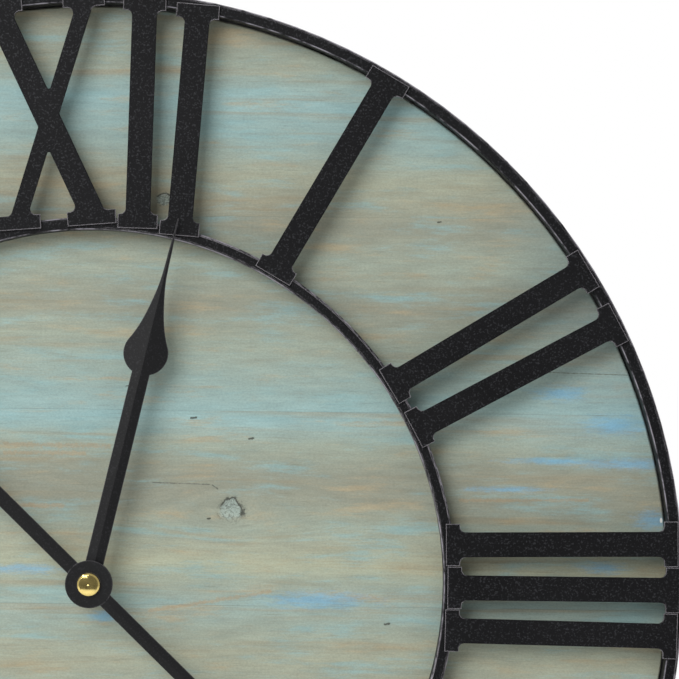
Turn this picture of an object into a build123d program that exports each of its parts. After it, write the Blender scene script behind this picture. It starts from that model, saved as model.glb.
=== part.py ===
from build123d import *
import os
from math import asin, atan, cos, degrees, radians, sin, sqrt, tan

# A large open wall clock: two steel rings and twelve plate numerals in front of a
# round pine board, with a quartz movement behind the board and long pressed hands.
# Millimetres, +Z up, the dial faces -Y, and the hands turn about the Y axis.
# Every depth below is a height above the wall, growing towards the viewer.

# ---- rings and board
outer_ring_radius = 304.8
inner_ring_radius = 188.0
ring_face = 6.4
outer_ring_depth = 24.7
inner_ring_depth = 12.7
ring_wall = 0.9
ring_edge_radius = 1.2
board_thickness = 12.0
board_gap = 0.6
board_edge_chamfer = 0.6
stem_hole_clearance = 0.6
lug_hole_clearance = 0.3
pilot_hole_spare = 0.5

# ---- numerals
numeral_thickness = 1.5
stroke_width = 12.7
thin_stroke_width = 8.2
serif_height = 7.2
inner_serif_width = 20.4
outer_serif_width = 22.0
joined_inner_serif_width = 21.5
joined_outer_serif_width = 23.2
thick_diagonal_serif_width = 25.0
thin_diagonal_serif_width = 21.5
stroke_pitch = 22.8
serif_fillet = 3.0
crossing_fillet = 1.0
serif_inset = 2.0
cross_foot_spread = 18.5
cross_head_spread = 22.1
cross_margin = 2.0
vee_spread = 16.0
vee_foot = 2.6
numeral_rim = 0.4
numeral_fit_radius = 181.6

# ---- hands
hand_sheet = 0.9
fold_angle = 10.0
hub_disc_radius = 12.2
hub_disc_thickness = 1.2
hour_disc_step = 1.5
lobe_angle = 28.0
hour_clock_angle = 13.0
hour_half_width = 4.65
hour_bulge_radius = 11.5
hour_bulge_place = 121.6
hour_length = 192.5
minute_clock_angle = 134.0
minute_half_width = 3.7
minute_bulge_radius = 8.4
minute_bulge_place = 208.0
minute_length = 266.0
minute_tail_place = 84.0
minute_tail_radius = 6.5
hour_hand_gap = 2.6
minute_hand_gap = 1.6
cap_nut_radius = 5.75
cap_nut_height = 3.2
cap_bevel = 0.9
cap_dome = 0.4
cap_face_thickness = 1.2
cap_seat_clearance = 0.3

# ---- movement
case_wall = 1.4
case_corner = 4.0
case_chamfer = 0.6
case_end_room = 2.75
case_depth_over_cell = 1.5
stem_radius = 4.0
stem_pitch = 0.75
stem_thread_depth = 0.35
stem_flange_radius = 5.5
stem_flange_thickness = 0.8
hour_tube_radius = 2.7
hour_tube_wall = 1.1
arbor_tip_radius = 1.4
knob_arbor_radius = 1.0
pivot_radius = 0.45
pivot_depth = 0.7
running_clearance = 0.05
fit_clearance = 0.04
rubber_thickness = 1.0
rubber_radius = 9.0
washer_thickness = 0.8
washer_radius = 8.0
washer_chamfer = 0.15
washer_hole_clearance = 0.2
nut_thickness = 2.6
nut_across_flats = 12.0
nut_corner_drop = 0.5
knob_radius = 6.0
knob_height = 2.4
knob_chamfer = 0.4
knob_gap = 0.4
flute_count = 30
flute_radius = 0.3
battery_radius = 7.25
battery_length = 50.5
train_room = 11.35
cell_side_gap = 0.35
battery_clearance = 0.4
contact_thickness = 0.3
stem_setback = 1.2

# ---- joinery
batten_thickness = 20.0
batten_width = 40.0
batten_length = 470.0
batten_to_ring_screw = 30.04
batten_corner = 3.0
batten_chamfer = 1.2
hanger_thickness = 2.0
hanger_width = 26.0
hanger_corner = 4.0
hanger_inset = 4.0
hanger_screw_share = 0.28
hanger_place = 150.0
keyhole_radius = 5.0
keyhole_slot_radius = 2.5
keyhole_rise = 8.0
pad_radius = 9.0
pad_chamfer = 0.5
pad_end_distance = 30.0
tab_count = 8
tab_start_angle = 22.5
tab_width = 18.0
tab_length = 24.0
tab_thickness = 1.5
tab_corner = 3.0
tab_hole_clearance = 0.25
lug_count = 6
lug_start_angle = 0.0
lug_length = 16.0
lug_depth = 10.0
lug_side_gap = 0.2
ring_washer_margin = 1.8
wood_screw_radius = 1.75
wood_screw_head_radius = 3.6
machine_screw_radius = 1.5
machine_screw_head_radius = 2.9
screw_head_height = 1.8

# ---- heights above the wall, from the back forwards
board_back = hanger_thickness + batten_thickness
board_front = board_back + board_thickness
outer_ring_front = board_back + outer_ring_depth
inner_ring_front = board_front + inner_ring_depth
numeral_back = max(outer_ring_front, inner_ring_front)
numeral_front = numeral_back + numeral_thickness
fold_slope = tan(radians(fold_angle))
hour_ridge = numeral_front + hour_hand_gap + hand_sheet
hour_disc_back = hour_ridge - hand_sheet - hour_half_width * fold_slope
hour_disc_front = hour_disc_back + hub_disc_thickness
minute_disc_back = hour_ridge + minute_hand_gap
minute_disc_front = minute_disc_back + hub_disc_thickness
minute_ridge = minute_disc_back + minute_half_width * fold_slope + hand_sheet
cap_front = minute_disc_front + cap_nut_height
wall = cap_front / 2

# ---- radii and heights that follow
outer_ring_inside = outer_ring_radius - ring_face
inner_ring_inside = inner_ring_radius - ring_face
inner_ring_middle = inner_ring_radius - ring_face / 2
board_radius = outer_ring_inside - board_gap
numeral_inside = inner_ring_inside + serif_inset
numeral_outside = outer_ring_radius - serif_inset
numeral_middle = (numeral_inside + numeral_outside) / 2
numeral_half = (numeral_outside - numeral_inside) / 2
numeral_share = inner_ring_inside / numeral_fit_radius
serif_face = numeral_half - serif_height
case_width = battery_length + 2 * case_end_room
battery_drop = train_room + battery_clearance + battery_radius
case_drop = battery_drop + battery_radius + cell_side_gap + case_wall
case_height = case_width / 2 + case_drop
case_middle = (case_width / 2 - case_drop) / 2
case_depth = 2 * battery_radius + case_depth_over_cell
cover_depth = case_depth / 2
case_front = board_back - rubber_thickness
case_back = case_front - case_depth
case_floor = case_front - case_wall
cover_floor = case_back + case_wall
case_split = case_back + cover_depth
case_inside = case_width - 2 * case_wall
case_inside_height = case_height - 2 * case_wall
stem_front = numeral_front - stem_setback
hour_tube_bore = hour_tube_radius - hour_tube_wall
arbor_radius = hour_tube_bore - running_clearance
stem_bore = hour_tube_radius + running_clearance
board_screw_depth = board_thickness * 0.75
ring_screw_reach = inner_ring_middle * sin(radians(360 / lug_count))
batten_offset = ring_screw_reach - batten_to_ring_screw - batten_width / 2
tab_middle = outer_ring_radius - ring_wall - tab_length / 2
tab_screw_place = tab_middle - tab_length * 0.2
batten_screw_heights = [batten_length * share for share in (-0.4, -0.13, 0.13, 0.4)]
hanger_length = 2 * batten_offset + batten_width - 2 * hanger_inset
pad_height = batten_length / 2 - pad_end_distance
hanger_screw_places = [side * batten_width * hanger_screw_share for side in (-1, 1)]


def face(height, clock_angle=0.0, along=0.0, across=0.0, lean=0.0):
    """Plane parallel to the dial, its Z towards the viewer and its Y along the clock angle."""
    turn = radians(clock_angle)
    x = along * sin(turn) + across * cos(turn)
    z = along * cos(turn) - across * sin(turn)
    turn = radians(clock_angle + lean)
    return Plane((x, wall - height, z), x_dir=(cos(turn), 0, -sin(turn)), z_dir=(0, -1, 0))


def save(builder, name):
    builder.part.label = name
    export_step(builder.part, f"parts/{name}.step")


def facing_wall(planes):
    """The same places, each facing back towards the wall."""
    return [Plane(plane.origin, x_dir=(1, 0, 0), z_dir=(0, 1, 0)) for plane in planes]


def tube(back, front, radius, bore=0.0, x=0.0, z=0.0):
    """Round bar or tube along Y, added to the part being built."""
    with BuildSketch(face(back, 0, z, x), mode=Mode.PRIVATE) as section:
        Circle(radius)
        if bore:
            Circle(bore, mode=Mode.SUBTRACT)
    extrude(section.sketch, amount=front - back)


os.makedirs("parts", exist_ok=True)


# ---- screws
def screw(shank_radius, shank_length, head_radius, countersunk):
    """One screw entering along +Z from the XY plane, with a cross recess in its head."""
    top = 0 if countersunk else -screw_head_height
    with BuildPart() as one:
        with BuildSketch(Plane.XZ):
            with BuildLine():
                if countersunk:
                    head = [(head_radius, 0), (shank_radius, head_radius - shank_radius)]
                else:
                    brow = screw_head_height * 0.5
                    head = [(head_radius * 0.7, top), (head_radius, top + brow)]
                    head += [(head_radius, 0), (shank_radius, 0)]
                tip = [(shank_radius, shank_length - shank_radius), (0, shank_length)]
                Polyline((0, top), *head, *tip, close=True)
            make_face()
        revolve(axis=Axis.Z)
        with BuildSketch(Plane.XY.offset(top)):
            Rectangle(head_radius * 1.1, head_radius * 0.28)
            Rectangle(head_radius * 0.28, head_radius * 1.1)
        extrude(amount=screw_head_height * 0.6, mode=Mode.SUBTRACT)
    return one.part


def save_copies(shape, planes, name):
    """Copies of one shape, one at each plane, as separate solids of one node."""
    with BuildPart() as group:
        with Locations(*[plane.location for plane in planes]):
            add(shape)
    save(group, name)


def around(height, count, start_angle, radius):
    return [face(height, start_angle + 360 / count * step, radius) for step in range(count)]


batten_screw_planes = [
    face(hanger_thickness, 0, height, side * batten_offset)
    for side in (-1, 1)
    for height in batten_screw_heights
]
hanger_screw_planes = [
    face(0, 0, hanger_place, side * (batten_offset + place))
    for side in (-1, 1)
    for place in hanger_screw_places
]
hanger_screw_length = batten_thickness * 0.8

# ---- round board, with its stem hole, clearance holes and pilot holes
with BuildPart() as dial_board:
    with BuildSketch(face(board_back)):
        Circle(board_radius)
    extrude(amount=board_thickness)
    chamfer(dial_board.edges().filter_by(GeomType.CIRCLE), board_edge_chamfer)
    with BuildSketch(face(board_back)):
        Circle(stem_radius + stem_hole_clearance)
        with PolarLocations(inner_ring_middle, lug_count, 90 - lug_start_angle):
            Circle(machine_screw_radius + lug_hole_clearance)
    extrude(amount=board_thickness, mode=Mode.SUBTRACT)
    with BuildSketch(face(board_back)):
        with PolarLocations(tab_screw_place, tab_count, 90 - tab_start_angle):
            Circle(wood_screw_radius + fit_clearance)
        with Locations(*[(s * batten_offset, h) for s in (-1, 1) for h in batten_screw_heights]):
            Circle(wood_screw_radius + fit_clearance)
    extrude(amount=board_screw_depth + pilot_hole_spare, mode=Mode.SUBTRACT)
save(dial_board, "dial_board")

# ---- battens across the grain on the back of the board
for side, name in ((-1, "batten_left"), (1, "batten_right")):
    middle = face(hanger_thickness, 0, 0, side * batten_offset)
    with BuildPart() as batten:
        with BuildSketch(middle):
            RectangleRounded(batten_width, batten_length, batten_corner)
        extrude(amount=batten_thickness)
        chamfer(batten.faces().sort_by(Axis.Y)[-1].edges(), batten_chamfer)
        with Locations(*facing_wall(p for p in batten_screw_planes if p.origin.X * side > 0)):
            CounterSinkHole(
                wood_screw_radius + fit_clearance,
                wood_screw_head_radius + fit_clearance,
                depth=batten_thickness,
                counter_sink_angle=90,
            )
        with BuildSketch(middle):
            for place in hanger_screw_places:
                with Locations((place, hanger_place)):
                    Circle(wood_screw_radius + fit_clearance)
        extrude(amount=hanger_screw_length + pilot_hole_spare, mode=Mode.SUBTRACT)
    save(batten, name)

batten_screw = screw(
    wood_screw_radius, batten_thickness + board_screw_depth, wood_screw_head_radius, True
)
save_copies(batten_screw, batten_screw_planes, "batten_screws")

# ---- hanger bar with a keyhole, on the backs of the battens
with BuildPart() as hanger_bar:
    with BuildSketch(face(0, 0, hanger_place)):
        RectangleRounded(hanger_length, hanger_width, hanger_corner)
        Circle(keyhole_radius, mode=Mode.SUBTRACT)
        with Locations((0, keyhole_rise / 2)):
            Rectangle(2 * keyhole_slot_radius, keyhole_rise, mode=Mode.SUBTRACT)
        with Locations((0, keyhole_rise)):
            Circle(keyhole_slot_radius, mode=Mode.SUBTRACT)
    extrude(amount=hanger_thickness)
    with Locations(*facing_wall(hanger_screw_planes)):
        CounterSinkHole(
            wood_screw_radius + fit_clearance,
            wood_screw_head_radius + fit_clearance,
            depth=hanger_thickness,
            counter_sink_angle=90,
        )
save(hanger_bar, "hanger_bar")

hanger_screw = screw(
    wood_screw_radius, hanger_thickness + hanger_screw_length, wood_screw_head_radius, True
)
save_copies(hanger_screw, hanger_screw_planes, "hanger_screws")

# ---- rubber pads that keep the clock parallel to the wall
with BuildPart() as wall_pads:
    for side in (-1, 1):
        for end in (-1, 1):
            tube(0, hanger_thickness, pad_radius, 0, side * batten_offset, end * pad_height)
    chamfer(wall_pads.faces().sort_by(Axis.Y)[-4:].edges(), pad_chamfer)
save(wall_pads, "wall_pads")


# ---- rings, rolled channels open towards the wall
def ring(radius, back, front):
    width = ring_face - 2 * ring_wall
    middle = radius - ring_face / 2
    with BuildPart() as channel:
        with BuildSketch() as profile:
            with Locations((middle, wall - (back + front) / 2)):
                Rectangle(ring_face, front - back)
            fillet(profile.vertices().group_by(Axis.Y)[0], ring_edge_radius)
            with Locations((middle, wall - (back + front - ring_wall) / 2)):
                Rectangle(width, front - back - ring_wall, mode=Mode.SUBTRACT)
        revolve(axis=Axis.Y)
    return channel


save(ring(outer_ring_radius, board_back, outer_ring_front), "outer_ring")
save(ring(inner_ring_radius, board_front, inner_ring_front), "inner_ring")

# ---- tabs welded across the back of the outer ring and screwed to the board
with BuildPart() as outer_ring_tabs:
    for place in around(board_back - tab_thickness, tab_count, tab_start_angle, tab_middle):
        with BuildSketch(place):
            RectangleRounded(tab_width, tab_length, tab_corner)
            with Locations((0, tab_screw_place - tab_middle)):
                Circle(wood_screw_radius + tab_hole_clearance, mode=Mode.SUBTRACT)
        extrude(amount=tab_thickness)
save(outer_ring_tabs, "outer_ring_tabs")

tab_back = board_back - tab_thickness
tab_screw = screw(
    wood_screw_radius, tab_thickness + board_screw_depth, wood_screw_head_radius, False
)
save_copies(
    tab_screw, around(tab_back, tab_count, tab_start_angle, tab_screw_place), "tab_screws"
)

# ---- tapped lugs inside the inner ring, with screws from behind the board
lug_width = ring_face - 2 * (ring_wall + lug_side_gap)
with BuildPart() as inner_ring_lugs:
    for place in around(board_front, lug_count, lug_start_angle, inner_ring_middle):
        with BuildSketch(place):
            Rectangle(lug_length, lug_width)
            Circle(machine_screw_radius + fit_clearance, mode=Mode.SUBTRACT)
        extrude(amount=lug_depth)
save(inner_ring_lugs, "inner_ring_lugs")

ring_washer_back = board_back - washer_thickness
ring_screw = screw(
    machine_screw_radius,
    washer_thickness + board_thickness + lug_depth - 1,
    machine_screw_head_radius,
    False,
)
ring_screw_planes = around(ring_washer_back, lug_count, lug_start_angle, inner_ring_middle)
save_copies(ring_screw, ring_screw_planes, "ring_screws")

with BuildPart() as ring_washers:
    for place in ring_screw_planes:
        with BuildSketch(place):
            Circle(machine_screw_head_radius + ring_washer_margin)
            Circle(machine_screw_radius + washer_hole_clearance, mode=Mode.SUBTRACT)
        extrude(amount=washer_thickness)
save(ring_washers, "ring_washers")


# ---- numerals: letters drawn about their own middle, with +Y pointing outwards
# Every width above is the width on an inner ring whose inside is numeral_fit_radius,
# and the letters are as much narrower or wider as the ring that they stand on.
def serif(x, width, side):
    with Locations((x * numeral_share, side * (numeral_half - serif_height / 2))):
        Rectangle(width * numeral_share, serif_height)


def bar(foot_x, head_x, width, foot_y):
    """Slanted stroke between two levels, the given width across its own direction."""
    foot_x *= numeral_share
    head_x *= numeral_share
    lean = (head_x - foot_x) / (serif_face - foot_y)
    half = width * numeral_share / 2 * sqrt(1 + lean * lean)
    with BuildLine() as outline:
        Polyline(
            (foot_x - half, foot_y),
            (foot_x + half, foot_y),
            (head_x + half, serif_face),
            (head_x - half, serif_face),
            close=True,
        )
    make_face(outline.edges())
    return half


def round_corners(sketch, x, half, side):
    """Fillets where the stroke that meets the serif at x widens into it."""
    corners = [
        v for v in sketch.vertices()
        if abs(v.Y - side * serif_face) < 0.01
        and abs(abs(v.X - x * numeral_share) - half) < 0.01
    ]
    fillet(corners, serif_fillet)


def letter_i(sketch, inner_width, outer_width):
    half = bar(0, 0, stroke_width, -serif_face)
    serif(0, inner_width, -1)
    serif(0, outer_width, 1)
    for side in (-1, 1):
        round_corners(sketch, 0, half, side)


def letter_x(sketch):
    thick = bar(cross_foot_spread, -cross_head_spread, stroke_width, -serif_face)
    thin = bar(-cross_foot_spread, cross_head_spread, thin_stroke_width, -serif_face)
    inner = [v for v in sketch.vertices() if abs(v.Y) < serif_face / 2]
    fillet(inner, crossing_fillet)
    for side, spread in ((-1, cross_foot_spread), (1, cross_head_spread)):
        serif(-side * spread, thick_diagonal_serif_width, side)
        serif(side * spread, thin_diagonal_serif_width, side)
    for side, spread in ((-1, cross_foot_spread), (1, cross_head_spread)):
        round_corners(sketch, -side * spread, thick, side)
        round_corners(sketch, side * spread, thin, side)


def letter_v(sketch):
    thick = bar(-vee_foot, -vee_spread, stroke_width, -numeral_half)
    thin = bar(vee_foot, vee_spread, thin_stroke_width, -numeral_half)
    crotch = [v for v in sketch.vertices() if abs(v.Y) < serif_face - 0.1]
    fillet(crotch, crossing_fillet)
    serif(-vee_spread, outer_serif_width, 1)
    serif(vee_spread, outer_serif_width - stroke_width + thin_stroke_width, 1)
    round_corners(sketch, -vee_spread, thick, 1)
    round_corners(sketch, vee_spread, thin, 1)


half_advance = {
    "I": stroke_pitch / 2,
    "V": vee_spread + outer_serif_width / 2,
    "X": (cross_foot_spread + cross_head_spread + thick_diagonal_serif_width) / 2 + cross_margin,
}
# Each numeral's hour, its letters, how far each letter's outer end sways clockwise from
# its middle, and its extra letter gap.
numerals = (
    (12, "XII", (-4.900, 1.248, 4.377), 1.6),
    (1, "I", (0.0,), 0.0),
    (2, "II", (-1.509, 1.509), 5.7),
    (3, "III", (-0.884, 0.0, 0.884), 0.0),
    (4, "IIII", (-1.353, -0.468, 0.468, 1.353), 0.0),
    (5, "V", (0.0,), 0.0),
    (6, "VI", (-2.081, 3.124), 0.0),
    (7, "VII", (-3.124, 2.290, 4.586), 0.0),
    (8, "VIII", (-4.168, 3.124, 5.424, 7.741), 0.0),
    (9, "IX", (-2.081, 2.081), 0.0),
    (10, "X", (0.0,), 0.0),
    (11, "XI", (-2.602, 1.040), 0.0),
)
for hour, letters, sways, gap in numerals:
    joined = letters in ("III", "IIII")
    inner_width = joined_inner_serif_width if joined else inner_serif_width
    outer_width = joined_outer_serif_width if joined else outer_serif_width
    total = sum(2 * half_advance[letter] for letter in letters) + gap * (len(letters) - 1)
    place = -total / 2 * numeral_share
    with BuildPart() as numeral:
        for letter, sway in zip(letters, sways):
            place += half_advance[letter] * numeral_share
            swing = degrees(asin(place / numeral_middle))
            lean = degrees(atan(sway * numeral_share / numeral_half))
            plane = face(numeral_back, hour * 30 + swing, numeral_middle, 0, lean - swing)
            with BuildSketch(mode=Mode.PRIVATE) as outline:
                if letter == "I":
                    letter_i(outline, inner_width, outer_width)
                elif letter == "V":
                    letter_v(outline)
                else:
                    letter_x(outline)
            with BuildSketch(plane):
                add(outline.sketch)
            extrude(amount=numeral_thickness)
            place += (half_advance[letter] + gap) * numeral_share
        with BuildSketch(face(numeral_back)):
            Circle(outer_ring_radius - numeral_rim)
        extrude(amount=numeral_thickness, mode=Mode.INTERSECT)
    save(numeral, f"numeral_{hour}")


# ---- hands: sheet folded along its length, cut to a spade outline
# Taper of a spade from its round to its tip: share of the way, share of the round's radius.
spade_taper = ((0.18, 0.60), (0.37, 0.29), (0.56, 0.115), (0.77, 0.075), (1.0, 0.025))


def spade(half_width, bulge_radius, bulge_place, length):
    foot = bulge_place - sqrt(bulge_radius ** 2 - half_width ** 2)
    turn = radians(lobe_angle)
    start = (bulge_radius * cos(turn), bulge_place + bulge_radius * sin(turn))
    reach = length - bulge_place
    taper = [(bulge_radius * w, bulge_place + reach * s) for s, w in spade_taper]
    with BuildLine() as outline:
        for side in (-1, 1):
            lobe = ThreePointArc(
                (side * half_width, foot), (side * bulge_radius, bulge_place),
                (side * start[0], start[1]),
            )
            Spline(
                lobe @ 1,
                *[(side * x, y) for x, y in taper],
                tangents=[lobe % 1, (0, 1)],
            )
        Line((-half_width, foot), (half_width, foot))
        tip = taper[-1]
        Line((-tip[0], tip[1]), tip)
    make_face(outline.edges())
    with Locations((0, foot / 2)):
        Rectangle(2 * half_width, foot)


def folded_sheet(clock_angle, ridge, half_span, start, end):
    """Roof of constant slope, its ridge along the clock angle."""
    turn = radians(clock_angle)
    eaves = ridge - half_span * fold_slope
    across = Plane(
        (start * sin(turn), wall, start * cos(turn)),
        x_dir=(-cos(turn), 0, sin(turn)),
        z_dir=(sin(turn), 0, cos(turn)),
    )
    with BuildSketch(across, mode=Mode.PRIVATE) as section:
        with BuildLine():
            Polyline(
                (0, ridge),
                (half_span, eaves),
                (half_span, eaves - hand_sheet),
                (0, ridge - hand_sheet),
                (-half_span, eaves - hand_sheet),
                (-half_span, eaves),
                close=True,
            )
        make_face()
    extrude(section.sketch, amount=end - start)


with BuildPart() as hour_hand:
    folded_sheet(hour_clock_angle, hour_ridge, hour_bulge_radius + 1, 0, hour_length + 1)
    with BuildSketch(face(0, hour_clock_angle)):
        spade(hour_half_width, hour_bulge_radius, hour_bulge_place, hour_length)
    extrude(amount=cap_front, mode=Mode.INTERSECT)
    tube(hour_disc_back, hour_disc_front, hub_disc_radius - hour_disc_step)
    with BuildSketch(face(hour_disc_back - 1)):
        Circle(hour_tube_radius + fit_clearance)
    extrude(amount=hub_disc_thickness + 4, mode=Mode.SUBTRACT)
save(hour_hand, "hour_hand")

with BuildPart() as minute_hand:
    minute_span = minute_bulge_radius + 1
    tail_end = minute_tail_place + minute_tail_radius
    folded_sheet(minute_clock_angle, minute_ridge, minute_span, -tail_end - 1, minute_length + 1)
    with BuildSketch(face(0, minute_clock_angle)):
        spade(minute_half_width, minute_bulge_radius, minute_bulge_place, minute_length)
        with Locations((0, -minute_tail_place / 2)):
            Rectangle(2 * minute_half_width, minute_tail_place)
        with Locations((0, -minute_tail_place)):
            Circle(minute_tail_radius)
    extrude(amount=cap_front, mode=Mode.INTERSECT)
    tube(minute_disc_back, minute_ridge, hub_disc_radius)
    with BuildSketch(face(minute_disc_front)):
        Circle(cap_nut_radius + cap_seat_clearance)
    extrude(amount=hub_disc_thickness, mode=Mode.SUBTRACT)
    with BuildSketch(face(minute_disc_back - 1)):
        Circle(arbor_tip_radius + fit_clearance)
    extrude(amount=hub_disc_thickness + 4, mode=Mode.SUBTRACT)
save(minute_hand, "minute_hand")

# ---- cap nut: bevelled rim, slightly domed face, blind threaded hole
with BuildPart() as cap_nut:
    with BuildSketch(Plane.XY):
        with BuildLine():
            rim = cap_nut_height - cap_bevel
            Polyline(
                (0, wall - cap_front),
                (0, wall - minute_disc_front),
                (cap_nut_radius, wall - minute_disc_front),
                (cap_nut_radius, wall - minute_disc_front - rim),
                (cap_nut_radius - cap_bevel, wall - cap_front + cap_dome),
            )
            flat = cap_nut_radius - cap_bevel
            ball = (flat ** 2 + cap_dome ** 2) / (2 * cap_dome)
            ThreePointArc(
                (flat, wall - cap_front + cap_dome),
                (flat / 2, wall - cap_front + ball - sqrt(ball ** 2 - flat ** 2 / 4)),
                (0, wall - cap_front),
            )
        make_face()
    revolve(axis=Axis.Y)
    with BuildSketch(face(minute_disc_front)):
        Circle(arbor_tip_radius + fit_clearance)
    extrude(amount=cap_nut_height - cap_face_thickness, mode=Mode.SUBTRACT)
save(cap_nut, "cap_nut")

# ---- movement case
# Wheel centres in the case, as distances across and up from the hands' axis.
motion_distance = 11.0
cannon_teeth, minute_teeth, minute_pinion_teeth, hour_teeth = 12, 36, 10, 40
centre_teeth, third_pinion_teeth, third_teeth, seconds_pinion_teeth = 60, 8, 64, 8
seconds_teeth, step_pinion_teeth, step_teeth, rotor_teeth = 50, 10, 36, 6
cannon_module = 2 * motion_distance / (cannon_teeth + minute_teeth)
hour_module = 2 * motion_distance / (minute_pinion_teeth + hour_teeth)
train_module = 0.3
third_module = 0.25
third_direction, seconds_direction, step_direction, rotor_direction = -60.0, 30.0, 80.0, 90.0


def next_centre(centre, direction, teeth, pinion_teeth, module):
    distance = module * (teeth + pinion_teeth) / 2
    turn = radians(direction)
    return centre[0] + distance * sin(turn), centre[1] + distance * cos(turn)


minute_centre = (motion_distance, 0.0)
third_centre = next_centre(
    (0.0, 0.0), third_direction, centre_teeth, third_pinion_teeth, train_module
)
seconds_centre = next_centre(
    third_centre, seconds_direction, third_teeth, seconds_pinion_teeth, third_module
)
step_centre = next_centre(
    seconds_centre, step_direction, seconds_teeth, step_pinion_teeth, train_module
)
rotor_centre = next_centre(step_centre, rotor_direction, step_teeth, rotor_teeth, train_module)
small_centres = (third_centre, seconds_centre, step_centre, rotor_centre)
battery_height = case_floor - battery_clearance - battery_radius
trough_top = -battery_drop + battery_radius + battery_clearance
trough_half_length = battery_length / 2

with BuildPart() as front_case:
    with BuildSketch(face(case_split, 0, case_middle)):
        RectangleRounded(case_width, case_height, case_corner)
    extrude(amount=case_front - case_split)
    chamfer(front_case.faces().sort_by(Axis.Y)[0].edges(), case_chamfer)
    with BuildSketch(face(case_split, 0, case_middle)):
        RectangleRounded(case_inside, case_inside_height, case_corner - case_wall)
    extrude(amount=case_floor - case_split, mode=Mode.SUBTRACT)
    with BuildSketch(face(case_floor)):
        Circle(stem_flange_radius + fit_clearance)
    extrude(amount=stem_flange_thickness, mode=Mode.SUBTRACT)
    with BuildSketch(face(case_floor)):
        Circle(stem_radius + fit_clearance)
    extrude(amount=case_wall, mode=Mode.SUBTRACT)
    with BuildSketch(face(case_floor)):
        with Locations(*small_centres, minute_centre):
            Circle(pivot_radius + running_clearance)
    extrude(amount=pivot_depth + 0.1, mode=Mode.SUBTRACT)
save(front_case, "movement_front_case")

post_x = -case_width / 2 + 4.5
board_posts = ((post_x, -6.0), (post_x, 23.0))
post_height = 1.6
post_radius = 1.4
circuit_back = cover_floor + post_height
with BuildPart() as rear_cover:
    with BuildSketch(face(case_back, 0, case_middle)):
        RectangleRounded(case_width, case_height, case_corner)
    extrude(amount=cover_depth)
    chamfer(rear_cover.faces().sort_by(Axis.Y)[-1].edges(), case_chamfer)
    with BuildSketch(face(cover_floor, 0, case_middle)):
        RectangleRounded(case_inside, case_inside_height, case_corner - case_wall)
    extrude(amount=case_split - cover_floor, mode=Mode.SUBTRACT)
    with BuildSketch(face(cover_floor, 0, trough_top + case_wall / 2)):
        Rectangle(2 * trough_half_length, case_wall - 0.4)
    extrude(amount=case_floor - cover_floor - 0.2)
    for x, z in board_posts:
        tube(cover_floor, circuit_back, post_radius, 0, x, z)
    with BuildSketch(face(case_back, 0, -battery_drop)):
        Rectangle(2 * trough_half_length + 1, 2 * (battery_radius + battery_clearance) - 0.6)
    extrude(amount=case_wall, mode=Mode.SUBTRACT)
    with BuildSketch(face(case_back)):
        with Locations(minute_centre):
            Circle(knob_arbor_radius + running_clearance)
    extrude(amount=case_wall, mode=Mode.SUBTRACT)
    with BuildSketch(face(cover_floor - pivot_depth - 0.1)):
        with Locations(*small_centres):
            Circle(pivot_radius + running_clearance)
        Circle(knob_arbor_radius + running_clearance)
    extrude(amount=pivot_depth + 0.1, mode=Mode.SUBTRACT)
save(rear_cover, "movement_rear_cover")

# ---- threaded stem with its flange, rubber washer, brass washer and nut
with BuildPart() as threaded_stem:
    thread_back = case_front + 0.2
    turns = int((stem_front - 0.5 - thread_back) / stem_pitch)
    with BuildSketch(Plane.XY):
        with BuildLine():
            outline = [
                (stem_bore, wall - case_floor),
                (stem_flange_radius, wall - case_floor),
                (stem_flange_radius, wall - case_floor - stem_flange_thickness),
                (stem_radius, wall - case_floor - stem_flange_thickness),
            ]
            for turn in range(turns):
                crest = thread_back + turn * stem_pitch
                outline.append((stem_radius, wall - crest))
                valley = crest + stem_pitch / 2
                outline.append((stem_radius - stem_thread_depth, wall - valley))
            outline.append((stem_radius, wall - thread_back - turns * stem_pitch))
            outline.append((stem_radius - 0.3, wall - stem_front))
            outline.append((stem_bore, wall - stem_front))
            Polyline(*outline, close=True)
        make_face()
    revolve(axis=Axis.Y)
save(threaded_stem, "threaded_stem")

with BuildPart() as rubber_washer:
    tube(case_front, board_back, rubber_radius, stem_radius + washer_hole_clearance)
save(rubber_washer, "rubber_washer")

with BuildPart() as brass_washer:
    washer_bore = stem_radius + washer_hole_clearance
    tube(board_front, board_front + washer_thickness, washer_radius, washer_bore)
    chamfer(brass_washer.faces().sort_by(Axis.Y)[0].edges(), washer_chamfer)
save(brass_washer, "brass_washer")

nut_back = board_front + washer_thickness
with BuildPart() as stem_nut:
    with BuildSketch(face(nut_back)):
        RegularPolygon(nut_across_flats / 2, 6, major_radius=False)
    extrude(amount=nut_thickness)
    with BuildSketch(Plane.XY):
        corner = nut_across_flats / sqrt(3)
        front = wall - nut_back - nut_thickness
        with BuildLine():
            Polyline(
                (0, wall - nut_back),
                (corner, wall - nut_back),
                (corner, front + nut_corner_drop),
                (nut_across_flats / 2, front),
                (0, front),
                close=True,
            )
        make_face()
    revolve(axis=Axis.Y, mode=Mode.INTERSECT)
    with BuildSketch(face(nut_back)):
        Circle(stem_radius + fit_clearance)
    extrude(amount=nut_thickness, mode=Mode.SUBTRACT)
save(stem_nut, "stem_nut")


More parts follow.
